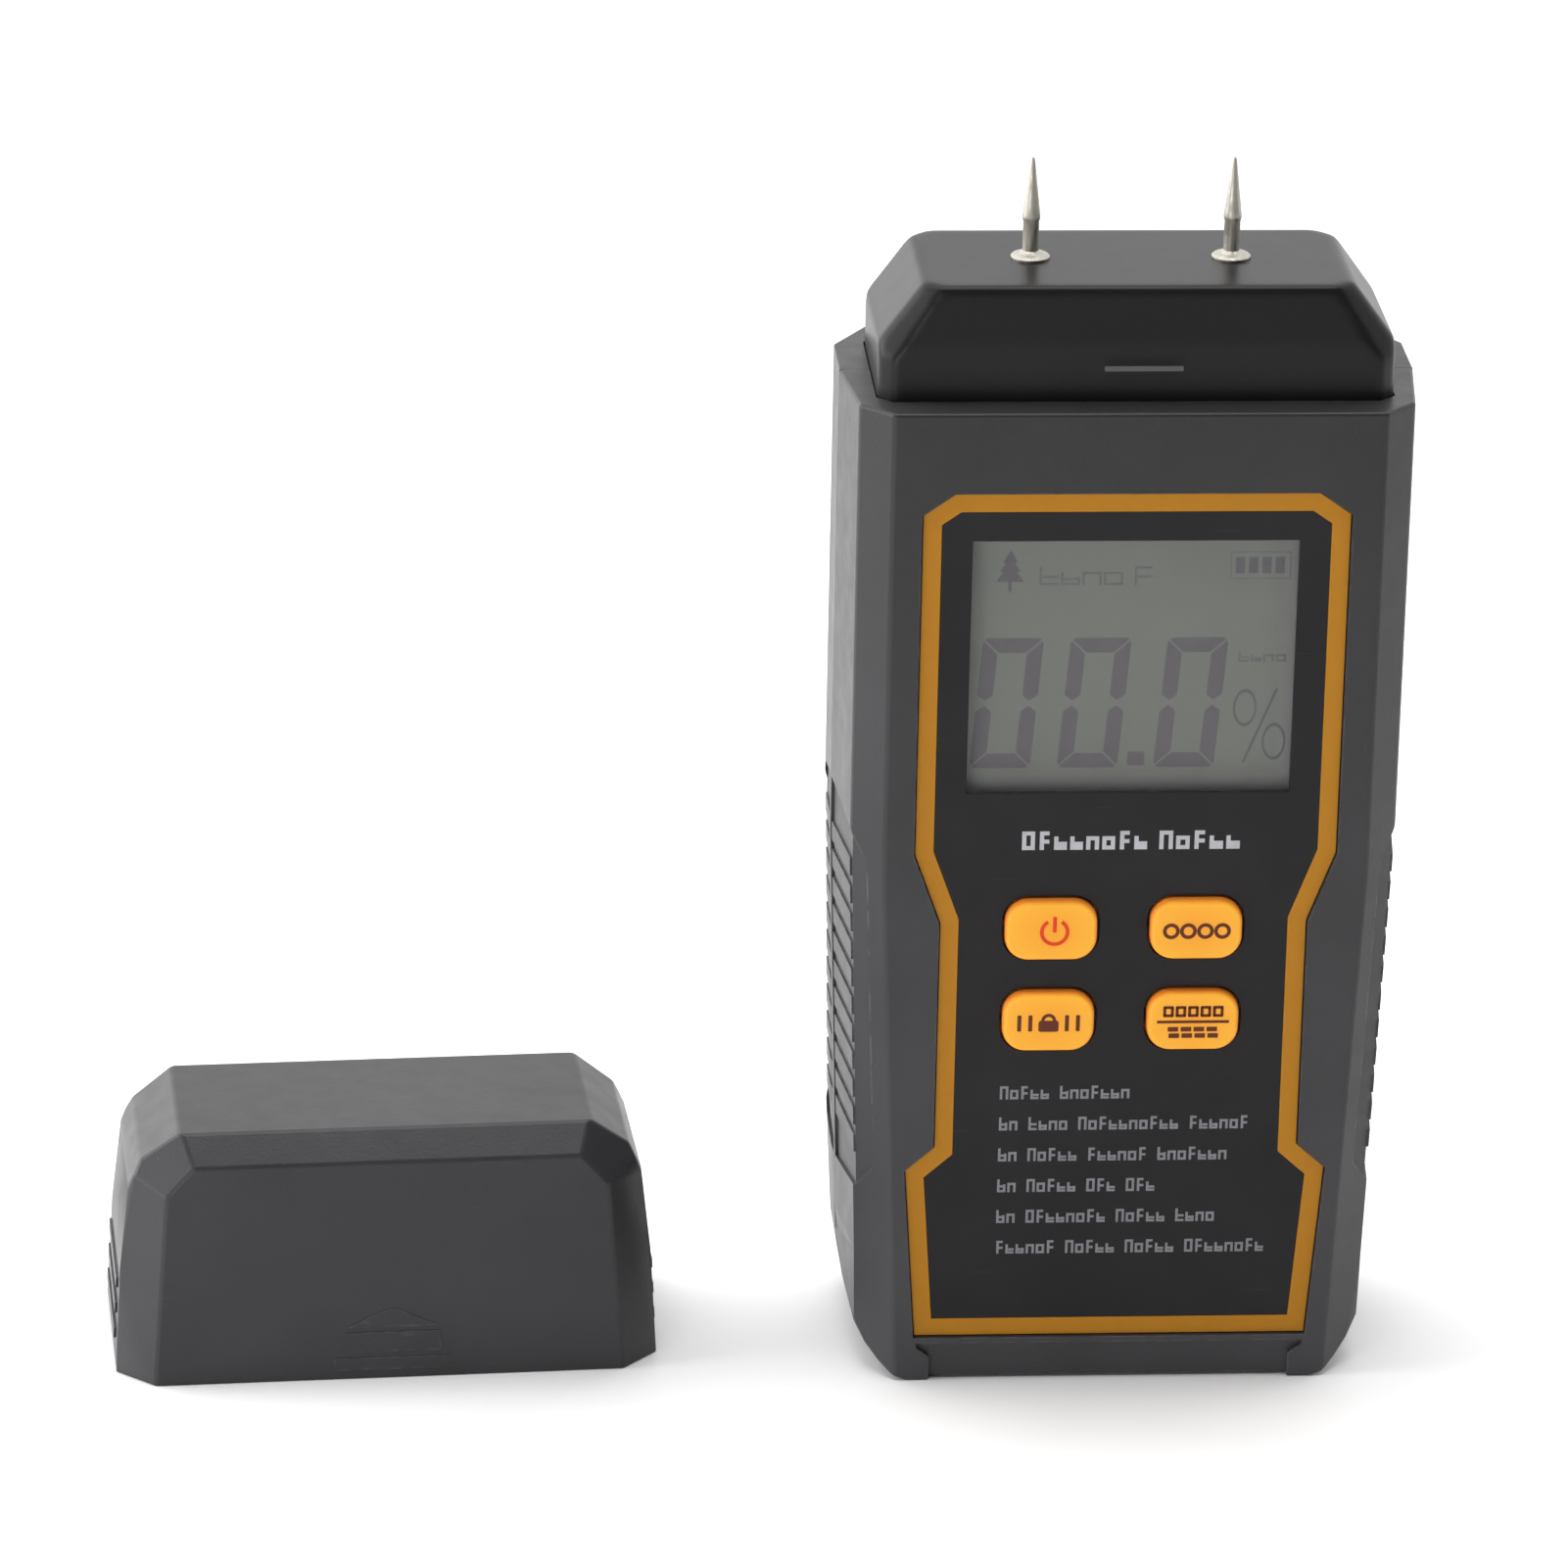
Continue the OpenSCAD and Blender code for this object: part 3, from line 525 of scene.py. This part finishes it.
class Print:
    """Flat shapes in an (x, z) plane, gathered and then raised into one thin piece. Millimetres."""

    def __init__(self):
        self.loops = []

    def poly(self, points):
        """Any outline, given by its corners."""
        self.loops.append([Vector(p) for p in points])

    def bar(self, x0, x1, z0, z1, r=0.0):
        """A box with corners of radius r."""
        r = min(r, (x1 - x0) / 2, (z1 - z0) / 2)
        if r <= 0:
            self.poly([(x0, z0), (x1, z0), (x1, z1), (x0, z1)])
            return
        corners = ((x1 - r, z0 + r, -90), (x1 - r, z1 - r, 0), (x0 + r, z1 - r, 90), (x0 + r, z0 + r, 180))
        points = []
        for cx, cz, start in corners:
            for i in range(CORNER_STEPS + 1):
                a = math.radians(start + 90 * i / CORNER_STEPS)
                points.append((cx + r * math.cos(a), cz + r * math.sin(a)))
        self.poly(points)

    def arc(self, cx, cz, r, width, start, end, steps, squeeze=1.0):
        """A ring sector, angles in degrees from +x; squeeze narrows it in x."""
        for i in range(steps):
            a, b = (math.radians(start + (end - start) * k / steps) for k in (i, i + 1))
            ring = [(r - width / 2, a), (r + width / 2, a), (r + width / 2, b), (r - width / 2, b)]
            self.poly([(cx + q * math.cos(t) * squeeze, cz + q * math.sin(t)) for q, t in ring])

    def line(self, start, end, width):
        """A straight stroke that runs a little past both its ends."""
        start, end = Vector(start), Vector(end)
        along = (end - start).normalized() * width / 2
        side = Vector((-along.y, along.x))
        p, q = start - along * 0.6, end + along * 0.6
        self.poly([p - side, q - side, q + side, p + side])

    def words(self, x, z, counts, pitch, gap, height, stroke):
        """Stand-ins for words of counts letters: small marks built from strokes, which spell nothing."""
        for count in counts:
            for i in range(count):
                kind = (i * 3 + count) % 5
                high = height if i == 0 or kind == 1 else height * 0.72
                self.mark(kind, x, z, pitch - stroke * 0.75, high, stroke)
                x += pitch
            x += gap

    def mark(self, kind, x, z, width, height, stroke):
        """One of five marks: a left upright with some of a right upright, a top, a foot and a middle bar."""
        left, right = x, x + width
        if kind == 1:
            left, right = left + stroke * 0.4, right - stroke * 0.4
        middle = z + height * 0.45
        self.bar(left, left + stroke, z, z + height)
        if kind in (0, 2, 3):
            self.bar(right - stroke, right, z, z + height * (1 if kind != 2 else 0.6))
        if kind in (0, 1, 3):
            self.bar(left + stroke, right - stroke * (kind != 1), z + height - stroke, z + height)
        if kind in (2, 3, 4):
            self.bar(left + stroke, right - stroke * (kind != 4), z, z + stroke)
        if kind in (1, 2, 4):
            end = right - stroke * (kind == 2)
            self.bar(left + stroke, end, middle - stroke / 2, middle + stroke / 2)

    def raised(self, frame_of, thick):
        """A bmesh of all shapes, thick mm high; frame_of(x, z, out) gives each point's place in mm."""
        bm = bmesh.new()
        for loop in self.loops:
            low = [bm.verts.new(frame_of(p.x, p.y, 0) * MM) for p in loop]
            top = [bm.verts.new(frame_of(p.x, p.y, thick) * MM) for p in loop]
            bm.faces.new(top)
            bm.faces.new(low[::-1])
            for i in range(len(loop)):
                j = (i + 1) % len(loop)
                bm.faces.new((low[i], low[j], top[j], top[i]))
        return bm


def printed(name, sheet, y, body, look, thick=INK):
    """Print on a face that looks along -Y at y mm, sunk a little to keep it joined to the face."""
    raised = sheet.raised(lambda x, z, out: Vector((x, y + PRINT_SUNK - out, z)), thick)
    return piece(name, raised, body, [look], smooth=False)


def lathe(bm, x, y, profile, segments=64, look=0):
    """Turns a list of (radius, z) round the vertical line at x, y; a radius of 0 closes it in a point."""
    turns = [2 * math.pi * i / segments for i in range(segments)]
    rings = []
    for r, z in profile:
        around = [(x + r * math.cos(a), y + r * math.sin(a), z) for a in turns] if r else [(x, y, z)]
        rings.append([bm.verts.new(Vector(p) * MM) for p in around])
    for a, b in zip(rings, rings[1:]):
        for i in range(segments):
            j = (i + 1) % segments
            corners = [a[i % len(a)], a[j % len(a)], b[j % len(b)], b[i % len(b)]]
            corners = [v for k, v in enumerate(corners) if v not in corners[:k]]
            if len(corners) > 2:
                bm.faces.new(corners).material_index = look


def tube(bm, path, r, sides):
    """A round wire along a list of points in mm, closed at both ends."""
    turns = [2 * math.pi * k / sides for k in range(sides)]
    rings = []
    side = Vector((1, 0, 0))
    for i, p in enumerate(path):
        along = (path[min(i + 1, len(path) - 1)] - path[max(i - 1, 0)]).normalized()
        side = (side - along * side.dot(along)).normalized()
        other = along.cross(side)
        spokes = [side * math.cos(a) + other * math.sin(a) for a in turns]
        rings.append([bm.verts.new((p + spoke * r) * MM) for spoke in spokes])
    for a, b in zip(rings, rings[1:]):
        for k in range(sides):
            bm.faces.new((a[k], a[(k + 1) % sides], b[(k + 1) % sides], b[k]))
    bm.faces.new(rings[0][::-1])
    bm.faces.new(rings[-1])


# ---------------------------------------------------------------- shells
# How far arrises are rounded, in mm, and in how many steps.
FRONT_ARRIS, REAR_ARRIS, CAP_ARRIS, KEY_ARRIS, SEAM = 0.4, 0.18, 0.35, 0.5, 0.08
SHELL_STEPS, KEY_STEPS = 4, 6
HEAD_MARK = (-3.65, 4.75, 116.0, 116.55)        # x from and to, z from and to, mm
HEAD_FACE, HEAD_MARK_OUT, HEAD_MARK_CORNER = -11.2, 0.28, 0.15
HEAD_VOXEL, HEAD_SOFTENING = 0.36, 16           # mm and rounds of smoothing; more of either is softer


def box_mm(node):
    """The low and high corners of a CAD node, in mm."""
    low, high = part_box(node)
    return low / MM, high / MM


def centre(low, high):
    return (low.x + high.x) / 2, (low.y + high.y) / 2


def refine(node, name, look, bm, groups, steps):
    """Rounds a copy of a CAD node, which then stands for it. groups are pairs of width and wanted(edge)."""
    widest = max(width for width, _ in groups)
    rounding(bm, groups, widest)
    obj = piece(name, bm, BODY_OF[node], [look], [node])
    bevel = obj.modifiers.new("rounded", "BEVEL")
    bevel.limit_method, bevel.width, bevel.segments = "WEIGHT", widest * MM, steps
    bevel.use_clamp_overlap = False
    weighted(obj)


def refine_skin(node, name, look, arris, seam=0.0):
    """Rounds the outer arrises of a CAD node; seam is the width of its joint line at y = 0."""
    bm = node_copy(node)
    outer = outer_faces(bm)

    def at_joint(edge):
        return abs(mid(edge).y) < 0.05

    def outer_arris(edge):
        return all(face in outer for face in edge.link_faces) and not at_joint(edge)

    def joint_line(edge):
        return at_joint(edge) and any(f in outer and abs(f.normal.y) < 0.9 for f in edge.link_faces)

    groups = [(arris, outer_arris)] + ([(seam, joint_line)] if seam else [])
    refine(node, name, look, bm, groups, SHELL_STEPS)


def make_shells(looks):
    """Both case halves, the sensor head with the raised bar on its front, and the cap."""
    refine_skin("front_case", "front_case_shell", looks["case_plastic"], FRONT_ARRIS, SEAM)
    refine_skin("rear_case", "rear_case_shell", looks["case_plastic"], REAR_ARRIS, SEAM)
    make_head(looks)
    refine_skin("pin_cap", "pin_cap_shell", looks["cap_plastic"], CAP_ARRIS)
    bar = Print()
    bar.bar(*HEAD_MARK, HEAD_MARK_CORNER)
    printed("head_mark", bar, HEAD_FACE, "meter", looks["mark_ink"], HEAD_MARK_OUT)


def shaved(bm, direction, depth):
    """Planes a flat off whatever reaches furthest in a direction, depth in mm."""
    out = Vector(direction).normalized()
    reach = max(v.co.dot(out) for v in bm.verts)
    cut = bmesh.ops.bisect_plane(bm, geom=bm.verts[:] + bm.edges[:] + bm.faces[:], clear_outer=True,
                                 plane_co=out * (reach - depth * MM), plane_no=out, dist=1e-7)
    rim = [e for e in cut["geom_cut"] if isinstance(e, bmesh.types.BMEdge) and e.is_boundary]
    bmesh.ops.holes_fill(bm, edges=rim)


def make_head(looks):
    """The sensor head: flats along its sloping edges, then soft all round. Plugs close its two bores."""
    bm = node_copy("probe_head")
    slope = max((f for f in bm.faces if f.normal.x > 0.4 and abs(f.normal.y) < 0.05 and f.normal.z > 0.4),
                key=lambda f: f.calc_area()).normal.copy()
    edge_flat, rear_corner, front_corner, end_flat = 0.7, 0.3, 0.15, 0.12
    for side in (-1, 1):
        over = Vector((side * slope.x, 0, slope.z))
        for end, corner in ((-1, front_corner), (1, rear_corner)):
            shaved(bm, over + Vector((0, end, 0)), edge_flat)
            shaved(bm, over + Vector((0, end * 0.5, 1)), corner)
        shaved(bm, over + Vector((0, 0, 1)), end_flat)
    top = box_mm("probe_head")[1].z
    plug_r, plug_depth = 1.7, 1.2
    for side in ("left", "right"):
        x, y = centre(*box_mm("electrode_pin_" + side))
        lathe(bm, x, y, [(0, top - plug_depth), (plug_r, top - plug_depth), (plug_r, top), (0, top)], 32)
    head = piece("probe_head_shell", bm, "meter", [looks["head_plastic"]], ["probe_head"])
    fine = head.modifiers.new("fine", "REMESH")
    fine.mode, fine.voxel_size, fine.use_smooth_shade = "VOXEL", HEAD_VOXEL * MM, True
    soft = head.modifiers.new("soft", "SMOOTH")
    soft.factor, soft.iterations = 0.5, HEAD_SOFTENING


def make_cap_mark(looks):
    """A moulded arrow over two bars, low on the cap's front face and a little right of its middle."""
    bm = node_copy("pin_cap")
    face = max((f for f in bm.faces if f.normal.y < -0.9), key=lambda f: f.calc_area())
    out = face.normal.copy()
    across = Vector((0, 0, 1)).cross(out).normalized()
    up = out.cross(across)
    lowest = min(v.co.z for v in face.verts)
    foot = [v.co for v in face.verts if v.co.z < lowest + 0.1 * MM]
    start = sum(foot, Vector()) / len(foot) / MM
    bm.free()
    sheet = Print()
    sheet.bar(-6.5, 6.5, 1.05, 2.5, 0.3)
    sheet.bar(-5.35, 5.35, 3.15, 5.45, 0.3)
    sheet.poly([(-4.8, 6.0), (4.8, 6.0), (4.8, 6.15), (0.5, 8.1), (-0.5, 8.1), (-4.8, 6.15)])
    aside, sunk, thick = 0.3, 0.05, 0.13

    def on_face(x, z, high):
        return start + across * (x + aside) + up * z + out * (high - sunk)

    raised = sheet.raised(on_face, thick)
    piece("cap_mark", raised, "cap", [looks["cap_plastic"]], smooth=False)


# ---------------------------------------------------------------- keys
LEGEND_DROP, POWER_ASIDE = 0.1, 0.35    # how far legends sit off a key's middle, mm


def make_keys(looks):
    """The four keys: a domed front edge, and a printed legend that moves with each key."""
    legends = {"key_power": power_legend, "key_wood": timber_legend, "key_hold": lock_legend,
               "key_wall": wall_legend}
    for node, draw in legends.items():
        low, high = box_mm(node)
        power = node == "key_power"

        def front_edge(edge, face=low.y):
            return mid(edge).y < face + 0.02

        bm = node_copy(node)
        refine(node, node + "_cap", looks["silicone"], bm, [(KEY_ARRIS, front_edge)], KEY_STEPS)
        sheet = Print()
        draw(sheet, (low.x + high.x) / 2 + (POWER_ASIDE if power else 0), (low.z + high.z) / 2 - LEGEND_DROP)
        look = looks["power_ink" if power else "legend_ink"]
        printed(node + "_legend", sheet, low.y, BODY_OF[node], look)


def power_legend(sheet, x, z):
    """The standard power sign: a broken ring and a bar."""
    sheet.arc(x, z, r=1.4, width=0.42, start=122, end=418, steps=44)
    sheet.bar(x - 0.21, x + 0.21, z - 0.05, z + 1.8, 0.12)


def timber_legend(sheet, x, z):
    """Logs seen end-on: rings side by side."""
    pitch, r, stroke = 1.86, 0.72, 0.4
    for i in range(4):
        sheet.arc(x - 2.75 + i * pitch, z, r, stroke, 0, 360, 28)


def lock_legend(sheet, x, z):
    """A closed padlock between two pairs of short bars."""
    sheet.bar(x - 1.1, x + 1.1, z - 1.0, z + 0.3, 0.25)
    sheet.arc(x, z + 0.3, r=0.64, width=0.36, start=0, end=180, steps=14)
    half_width, half_height = 0.22, 0.95
    for middle in (-3.2, -2.0, 2.0, 3.2):
        sheet.bar(x + middle - half_width, x + middle + half_width, z - half_height, z + half_height, 0.12)


def wall_legend(sheet, x, z):
    """A ruled line with sheets of paper above it and courses of bricks below."""
    sheet.bar(x - 3.95, x + 3.95, z - 0.12, z + 0.2, 0.06)
    width, sheet_pitch, brick_pitch, course, shift = 1.16, 1.36, 1.42, 0.76, 0.12
    for i in range(5):
        left = x - 3.3 + i * sheet_pitch
        outline(sheet, left, left + width, z + 0.6, z + 1.9, 0.33, 0.25)
    for row in range(2):
        for i in range(4):
            left = x - 2.75 + i * brick_pitch + row * shift
            sheet.bar(left, left + width, z - 1.1 - row * course, z - 0.56 - row * course, 0.08)


def outline(sheet, x0, x1, z0, z1, width, r=0.0):
    """A hollow box drawn with four bars."""
    sheet.bar(x0, x1, z0, z0 + width, r / 2)
    sheet.bar(x0, x1, z1 - width, z1, r / 2)
    sheet.bar(x0, x0 + width, z0 + width / 2, z1 - width / 2)
    sheet.bar(x1 - width, x1, z0 + width / 2, z1 - width / 2)


# ---------------------------------------------------------------- display and panel print
# Lengths in mm; x from the meter's middle, z from the floor.
DIGIT_X, DIGIT_Z = (-17.07, -7.62, 2.83), 71.6
DIGIT_W, DIGIT_H, DIGIT_BAR, DIGIT_GAP, DIGIT_LEAN, DIGIT_CUT = 6.55, 14.9, 1.8, 0.11, 0.078, 0.45
TREE_AT = (-13.22, 91.8)
# The right half of the tree's outline, from its foot up.
TREE = ((0.18, 0), (0.18, 1.1), (1.5, 1.1), (0.7, 2.2), (1.15, 2.2), (0.45, 3.25), (0.8, 3.25), (0.1, 4.6))
LEVEL_X, LEVEL_PITCH, LEVEL_W = 10.98, 1.42, 1.0    # bars of the battery level
TITLE_Z, TITLE_H, TITLE_STROKE = 62.9, 2.15, 0.46
TITLE_WORDS = ((-11.3, 8, 1.74), (3.6, 5, 1.82))    # where each word starts, its letters and their pitch
ROW_X, ROW_Z, ROW_PITCH = -12.9, 33.6, 3.7
ROWS = ((5, 7), (2, 4, 10, 6), (2, 5, 6, 7), (2, 5, 3, 3), (2, 8, 5, 4), (6, 5, 5, 8))


def digit_zero(sheet, x, z):
    """Six lit bars of a slanted seven-bar numeral, mitred where they meet."""
    w, h, t, gap, c = DIGIT_W, DIGIT_H, DIGIT_BAR, DIGIT_GAP, DIGIT_CUT

    def put(points):
        sheet.poly([(x + px + pz * DIGIT_LEAN, z + pz) for px, pz in points])

    for flip in (False, True):
        def level(pz):
            return h - pz if flip else pz

        put([(c + gap, level(0)), (w - c - gap, level(0)), (w - c / 2, level(c / 2)),
             (w - t, level(t - gap)), (t, level(t - gap)), (c / 2, level(c / 2))])
        for mirror in (False, True):
            def across(px):
                return w - px if mirror else px

            put([(across(0), level(c + gap)), (across(c / 2 - gap / 2), level(c / 2 + gap * 1.6)),
                 (across(t - gap), level(t + gap * 0.6)), (across(t - gap), level(h / 2 - 0.95)),
                 (across(t / 2), level(h / 2 - 0.3)), (across(0), level(h / 2 - 0.95))])


def make_display(looks):
    """What the liquid crystal shows, and fainter symbols of parts of it that are not driven."""
    glass = box_mm("lcd_glass")[0].y
    lit = Print()
    for x in DIGIT_X:
        digit_zero(lit, x, DIGIT_Z)
    lit.bar(0.03, 1.88, 71.8, 73.4, 0.25)                   # decimal point
    for x, z in ((12.57, 78.4), (15.83, 74.5)):             # per cent sign
        lit.arc(x, z, r=1.95, width=0.38, start=0, end=360, steps=40, squeeze=0.6)
    lit.line((12.63, 72.2), (15.93, 80.5), 0.28)
    x, z = TREE_AT
    right, left = ([(x + side * px, z + pz) for px, pz in TREE] for side in (1, -1))
    lit.poly(right + left[::-1])
    for i in range(4):                                      # battery level
        start = LEVEL_X + LEVEL_PITCH * i
        lit.bar(start, start + LEVEL_W, 93.75, 95.6, 0.1)
    printed("lcd_marks", lit, glass, "meter", looks["lcd_ink"], LCD_INK)
    faint = Print()
    faint.words(-10.07, 92.5, (4, 1), pitch=2.3, gap=0.9, height=2.1, stroke=0.28)
    faint.words(11.63, 83.65, (4,), pitch=1.35, gap=0, height=1.2, stroke=0.26)
    outline(faint, 10.43, 16.93, 93.1, 96.2, 0.12)
    printed("lcd_faint_marks", faint, glass, "meter", looks["lcd_faint"], LCD_INK)


def make_print(looks):
    """Printing on the panel film: a title and six rows, all stand-ins for words."""
    film = box_mm("front_overlay")[0].y
    title = Print()
    for x, letters, pitch in TITLE_WORDS:
        title.words(x, TITLE_Z, (letters,), pitch, gap=0, height=TITLE_H, stroke=TITLE_STROKE)
    printed("title_print", title, film, "meter", looks["title_ink"])
    text = Print()
    for i, counts in enumerate(ROWS):
        text.words(ROW_X, ROW_Z - ROW_PITCH * i, counts, pitch=1.12, gap=1.0, height=1.55, stroke=0.27)
    printed("table_print", text, film, "meter", looks["text_ink"])


# ---------------------------------------------------------------- pins and cells
def make_pins(looks):
    """Turned pins: a flange on the head, a shank, and a wider cone with a rounded tip."""
    head = box_mm("probe_head")[1].z
    for side in ("left", "right"):
        node = "electrode_pin_" + side
        low, high = box_mm(node)
        top, flange = high.z, (high.x - low.x) / 2
        stem = [(0, low.z), (1.1, low.z), (1.3, low.z + 0.2), (1.3, head)]
        collar = [(flange - 0.35, head), (flange, head + 0.02), (flange, head + 0.22),
                  (flange - 0.18, head + 0.4), (1.35, head + 0.5), (1.1, head + 0.65)]
        shank = [(0.88, head + 0.85), (0.86, head + 4.1)]
        cone = [(0.95, head + 4.35), (0.98, head + 4.7), (0.92, head + 5.2), (0.27, top - 0.6),
                (0.17, top - 0.12), (0, top)]
        bm = bmesh.new()
        lathe(bm, *centre(low, high), stem + collar + shank + cone)
        obj = piece(node + "_turned", bm, BODY_OF[node], [looks["nickel"]], [node])
        obj.data.set_sharp_from_angle(angle=math.radians(40))


JACKET, STEEL, BAND = 0, 1, 2       # order of a cell's materials
BAND_FROM = 0.62                    # of the cell's length
SPRING_TURNS, SPRING_POINTS, SPRING_FLAT = 5, 180, 24       # FLAT: points at each end that don't climb
SPRING_BACK, SPRING_RISE, SPRING_LIFT = 4.6, 4.0, 0.3       # mm: start behind the cell, climb, clearance
SPRING_R, SPRING_TAPER, SPRING_WIRE = 2.8, 0.5, 0.28        # mm


def make_battery(looks):
    """Three cells with rolled steel ends and a metallic band, and the springs that press on them."""
    springs = bmesh.new()
    for i in (1, 2, 3):
        node = f"battery_{i}"
        low, high = box_mm(node)
        x, y = centre(low, high)
        upright = i != 2
        bm = bmesh.new()
        profile = cell_profile((high.x - low.x) / 2, high.z - low.z)
        for (r0, z0, look), (r1, z1, _) in zip(profile, profile[1:]):
            ends = [(r, low.z + z if upright else high.z - z) for r, z in ((r0, z0), (r1, z1))]
            lathe(bm, x, y, ends, 48, look)
        bmesh.ops.remove_doubles(bm, verts=bm.verts, dist=0.01 * MM)
        obj = piece(f"cell_{i}", bm, "meter",
                    [looks["cell_jacket"], looks["bare_steel"], looks["cell_band"]], [node])
        obj.data.set_sharp_from_angle(angle=math.radians(50))
        if upright:
            path = spring_path(x, y, low.z - SPRING_BACK, 1)
        else:
            path = spring_path(x, y, high.z + SPRING_BACK, -1)
        tube(springs, path, SPRING_WIRE, 10)
    piece("battery_coils", springs, "meter", [looks["bare_steel"]], ["battery_springs"])


def cell_profile(r, length):
    """Radius, height and material of a cell's outline, from the middle of its flat end upwards."""
    flat_end = [(0, 0.15, STEEL), (3.3, 0.15, STEEL), (3.6, 0, STEEL), (4.5, 0, STEEL), (4.9, 0.1, JACKET)]
    sleeve = [(r, 0.45, JACKET), (r, length * BAND_FROM, BAND), (r, length - 0.5, BAND)]
    top_end = [(4.9, length - 0.1, JACKET), (4.3, length, STEEL), (2.6, length, STEEL),
               (2.4, length - 0.1, STEEL), (0, length - 0.1, STEEL)]
    return flat_end + sleeve + top_end


def spring_path(x, y, base, way):
    """A slightly tapered coil whose end turns lie flat; way is 1 where it climbs, -1 where it hangs."""
    path = []
    for k in range(SPRING_POINTS + 1):
        along = k / SPRING_POINTS
        angle = 2 * math.pi * along * SPRING_TURNS
        r = SPRING_R - SPRING_TAPER * along
        climbed = (k - SPRING_FLAT) / (SPRING_POINTS - 2 * SPRING_FLAT)
        rise = min(max(climbed, 0), 1) * SPRING_RISE + SPRING_LIFT
        path.append(Vector((x + r * math.cos(angle), y + r * math.sin(angle), base + way * rise)))
    return path


EDGE = 0.1      # mm, how far the edges of the other CAD nodes are softened
OWN_EDGES = {"overlay_border": 0.04, "front_overlay": 0.05, "display_window": 0.03, "battery_door": 0.2,
             "circuit_board": 0.08, "controller_chip": 0.06, "amplifier_chip": 0.05}


def plain_nodes(looks):
    """CAD nodes that keep their own mesh get their material and softened edges."""
    for node, obj in NODES.items():
        if node in REPLACED:
            continue
        obj.data.materials.clear()
        obj.data.materials.append(looks[SLOT_OF[node]])
        weld = obj.modifiers.new("weld", "WELD")
        weld.merge_threshold = 0.002 * MM
        bevel = obj.modifiers.new("soft_edges", "BEVEL")
        bevel.width, bevel.segments = OWN_EDGES.get(node, EDGE) * MM, 2
        bevel.limit_method, bevel.angle_limit = "ANGLE", math.radians(35)
        bevel.use_clamp_overlap = True
        weighted(obj)


# ---------------------------------------------------------------- stage
FLOOR_HALF = 3.0     # metres


def make_stage():
    """The white table top."""
    look = Look("floor", 0.6)
    look.set("Base Color", look.mix(look.noise(60, 3), (0.975, 0.975, 0.975), (0.985, 0.985, 0.985)))
    look.gloss(20, 3, 0.55, 0.65)
    corners = [(x * FLOOR_HALF, y * FLOOR_HALF, 0) for x, y in ((-1, -1), (1, -1), (1, 1), (-1, 1))]
    mesh = bpy.data.meshes.new("floor")
    mesh.from_pydata(corners, [], [(0, 1, 2, 3)])
    floor = bpy.data.objects.new("floor", mesh)
    bpy.context.collection.objects.link(floor)
    mesh.materials.append(look.mat)


# Each ramp: axis looked along, where it starts and ends on that axis, brightness at both.
SKY_RAMPS = (("Y", -0.35, 0.2, 0.08, 1.35), ("X", -0.9, -0.1, 2.8, 1.0), ("X", 0.1, 0.9, 1.0, 1.3))


def make_world():
    """A white studio all round, dimmer on the side where a photographer stands."""
    world = bpy.data.worlds.new("studio")
    bpy.context.scene.world = world
    world.use_nodes = True
    nodes, links = world.node_tree.nodes, world.node_tree.links
    split = nodes.new("ShaderNodeSeparateXYZ")
    links.new(nodes.new("ShaderNodeTexCoord").outputs["Generated"], split.inputs[0])
    background = nodes["Background"]
    background.inputs["Color"].default_value = (1, 1, 1, 1)
    strength = None
    for axis, *numbers in SKY_RAMPS:
        ramp = nodes.new("ShaderNodeMapRange")
        links.new(split.outputs[axis], ramp.inputs[0])
        for socket, value in zip(list(ramp.inputs)[1:5], numbers):
            socket.default_value = value
        product = nodes.new("ShaderNodeMath")
        product.operation = "MULTIPLY"
        product.inputs[0].default_value = 1
        if strength is not None:
            links.new(strength, product.inputs[0])
        links.new(ramp.outputs[0], product.inputs[1])
        strength = product.outputs[0]
    links.new(strength, background.inputs["Strength"])


# Name, place, what it points at, diameter (metres) and power (watts) of each lamp.
LAMPS = (("overhead", (0.0, -0.02, 0.8), (-0.04, 0, 0.06), 0.6, 3),
         ("left", (-1.0, -0.02, 0.3), (-0.04, 0, 0.06), 0.6, 4.4),
         ("front_low", (-0.4, -0.62, 0.05), (0, 0, 0), 0.4, 1.7))


def make_light():
    """Round soft lamps; the picture keeps their colours as they are."""
    for name, place, target, size, power in LAMPS:
        data = bpy.data.lights.new(name, "AREA")
        data.shape, data.size, data.energy = "DISK", size, power
        lamp = bpy.data.objects.new(name, data)
        lamp.location = place
        lamp.rotation_euler = (Vector(target) - Vector(place)).to_track_quat("-Z", "Y").to_euler()
        bpy.context.collection.objects.link(lamp)
    bpy.context.scene.view_settings.view_transform = "Standard"


make_camera()
LOOKS = make_looks()
for make in (make_shells, make_keys, make_display, make_print, make_pins, make_battery, make_cap_mark,
             plain_nodes):
    make(LOOKS)
make_stage()
make_world()
make_light()
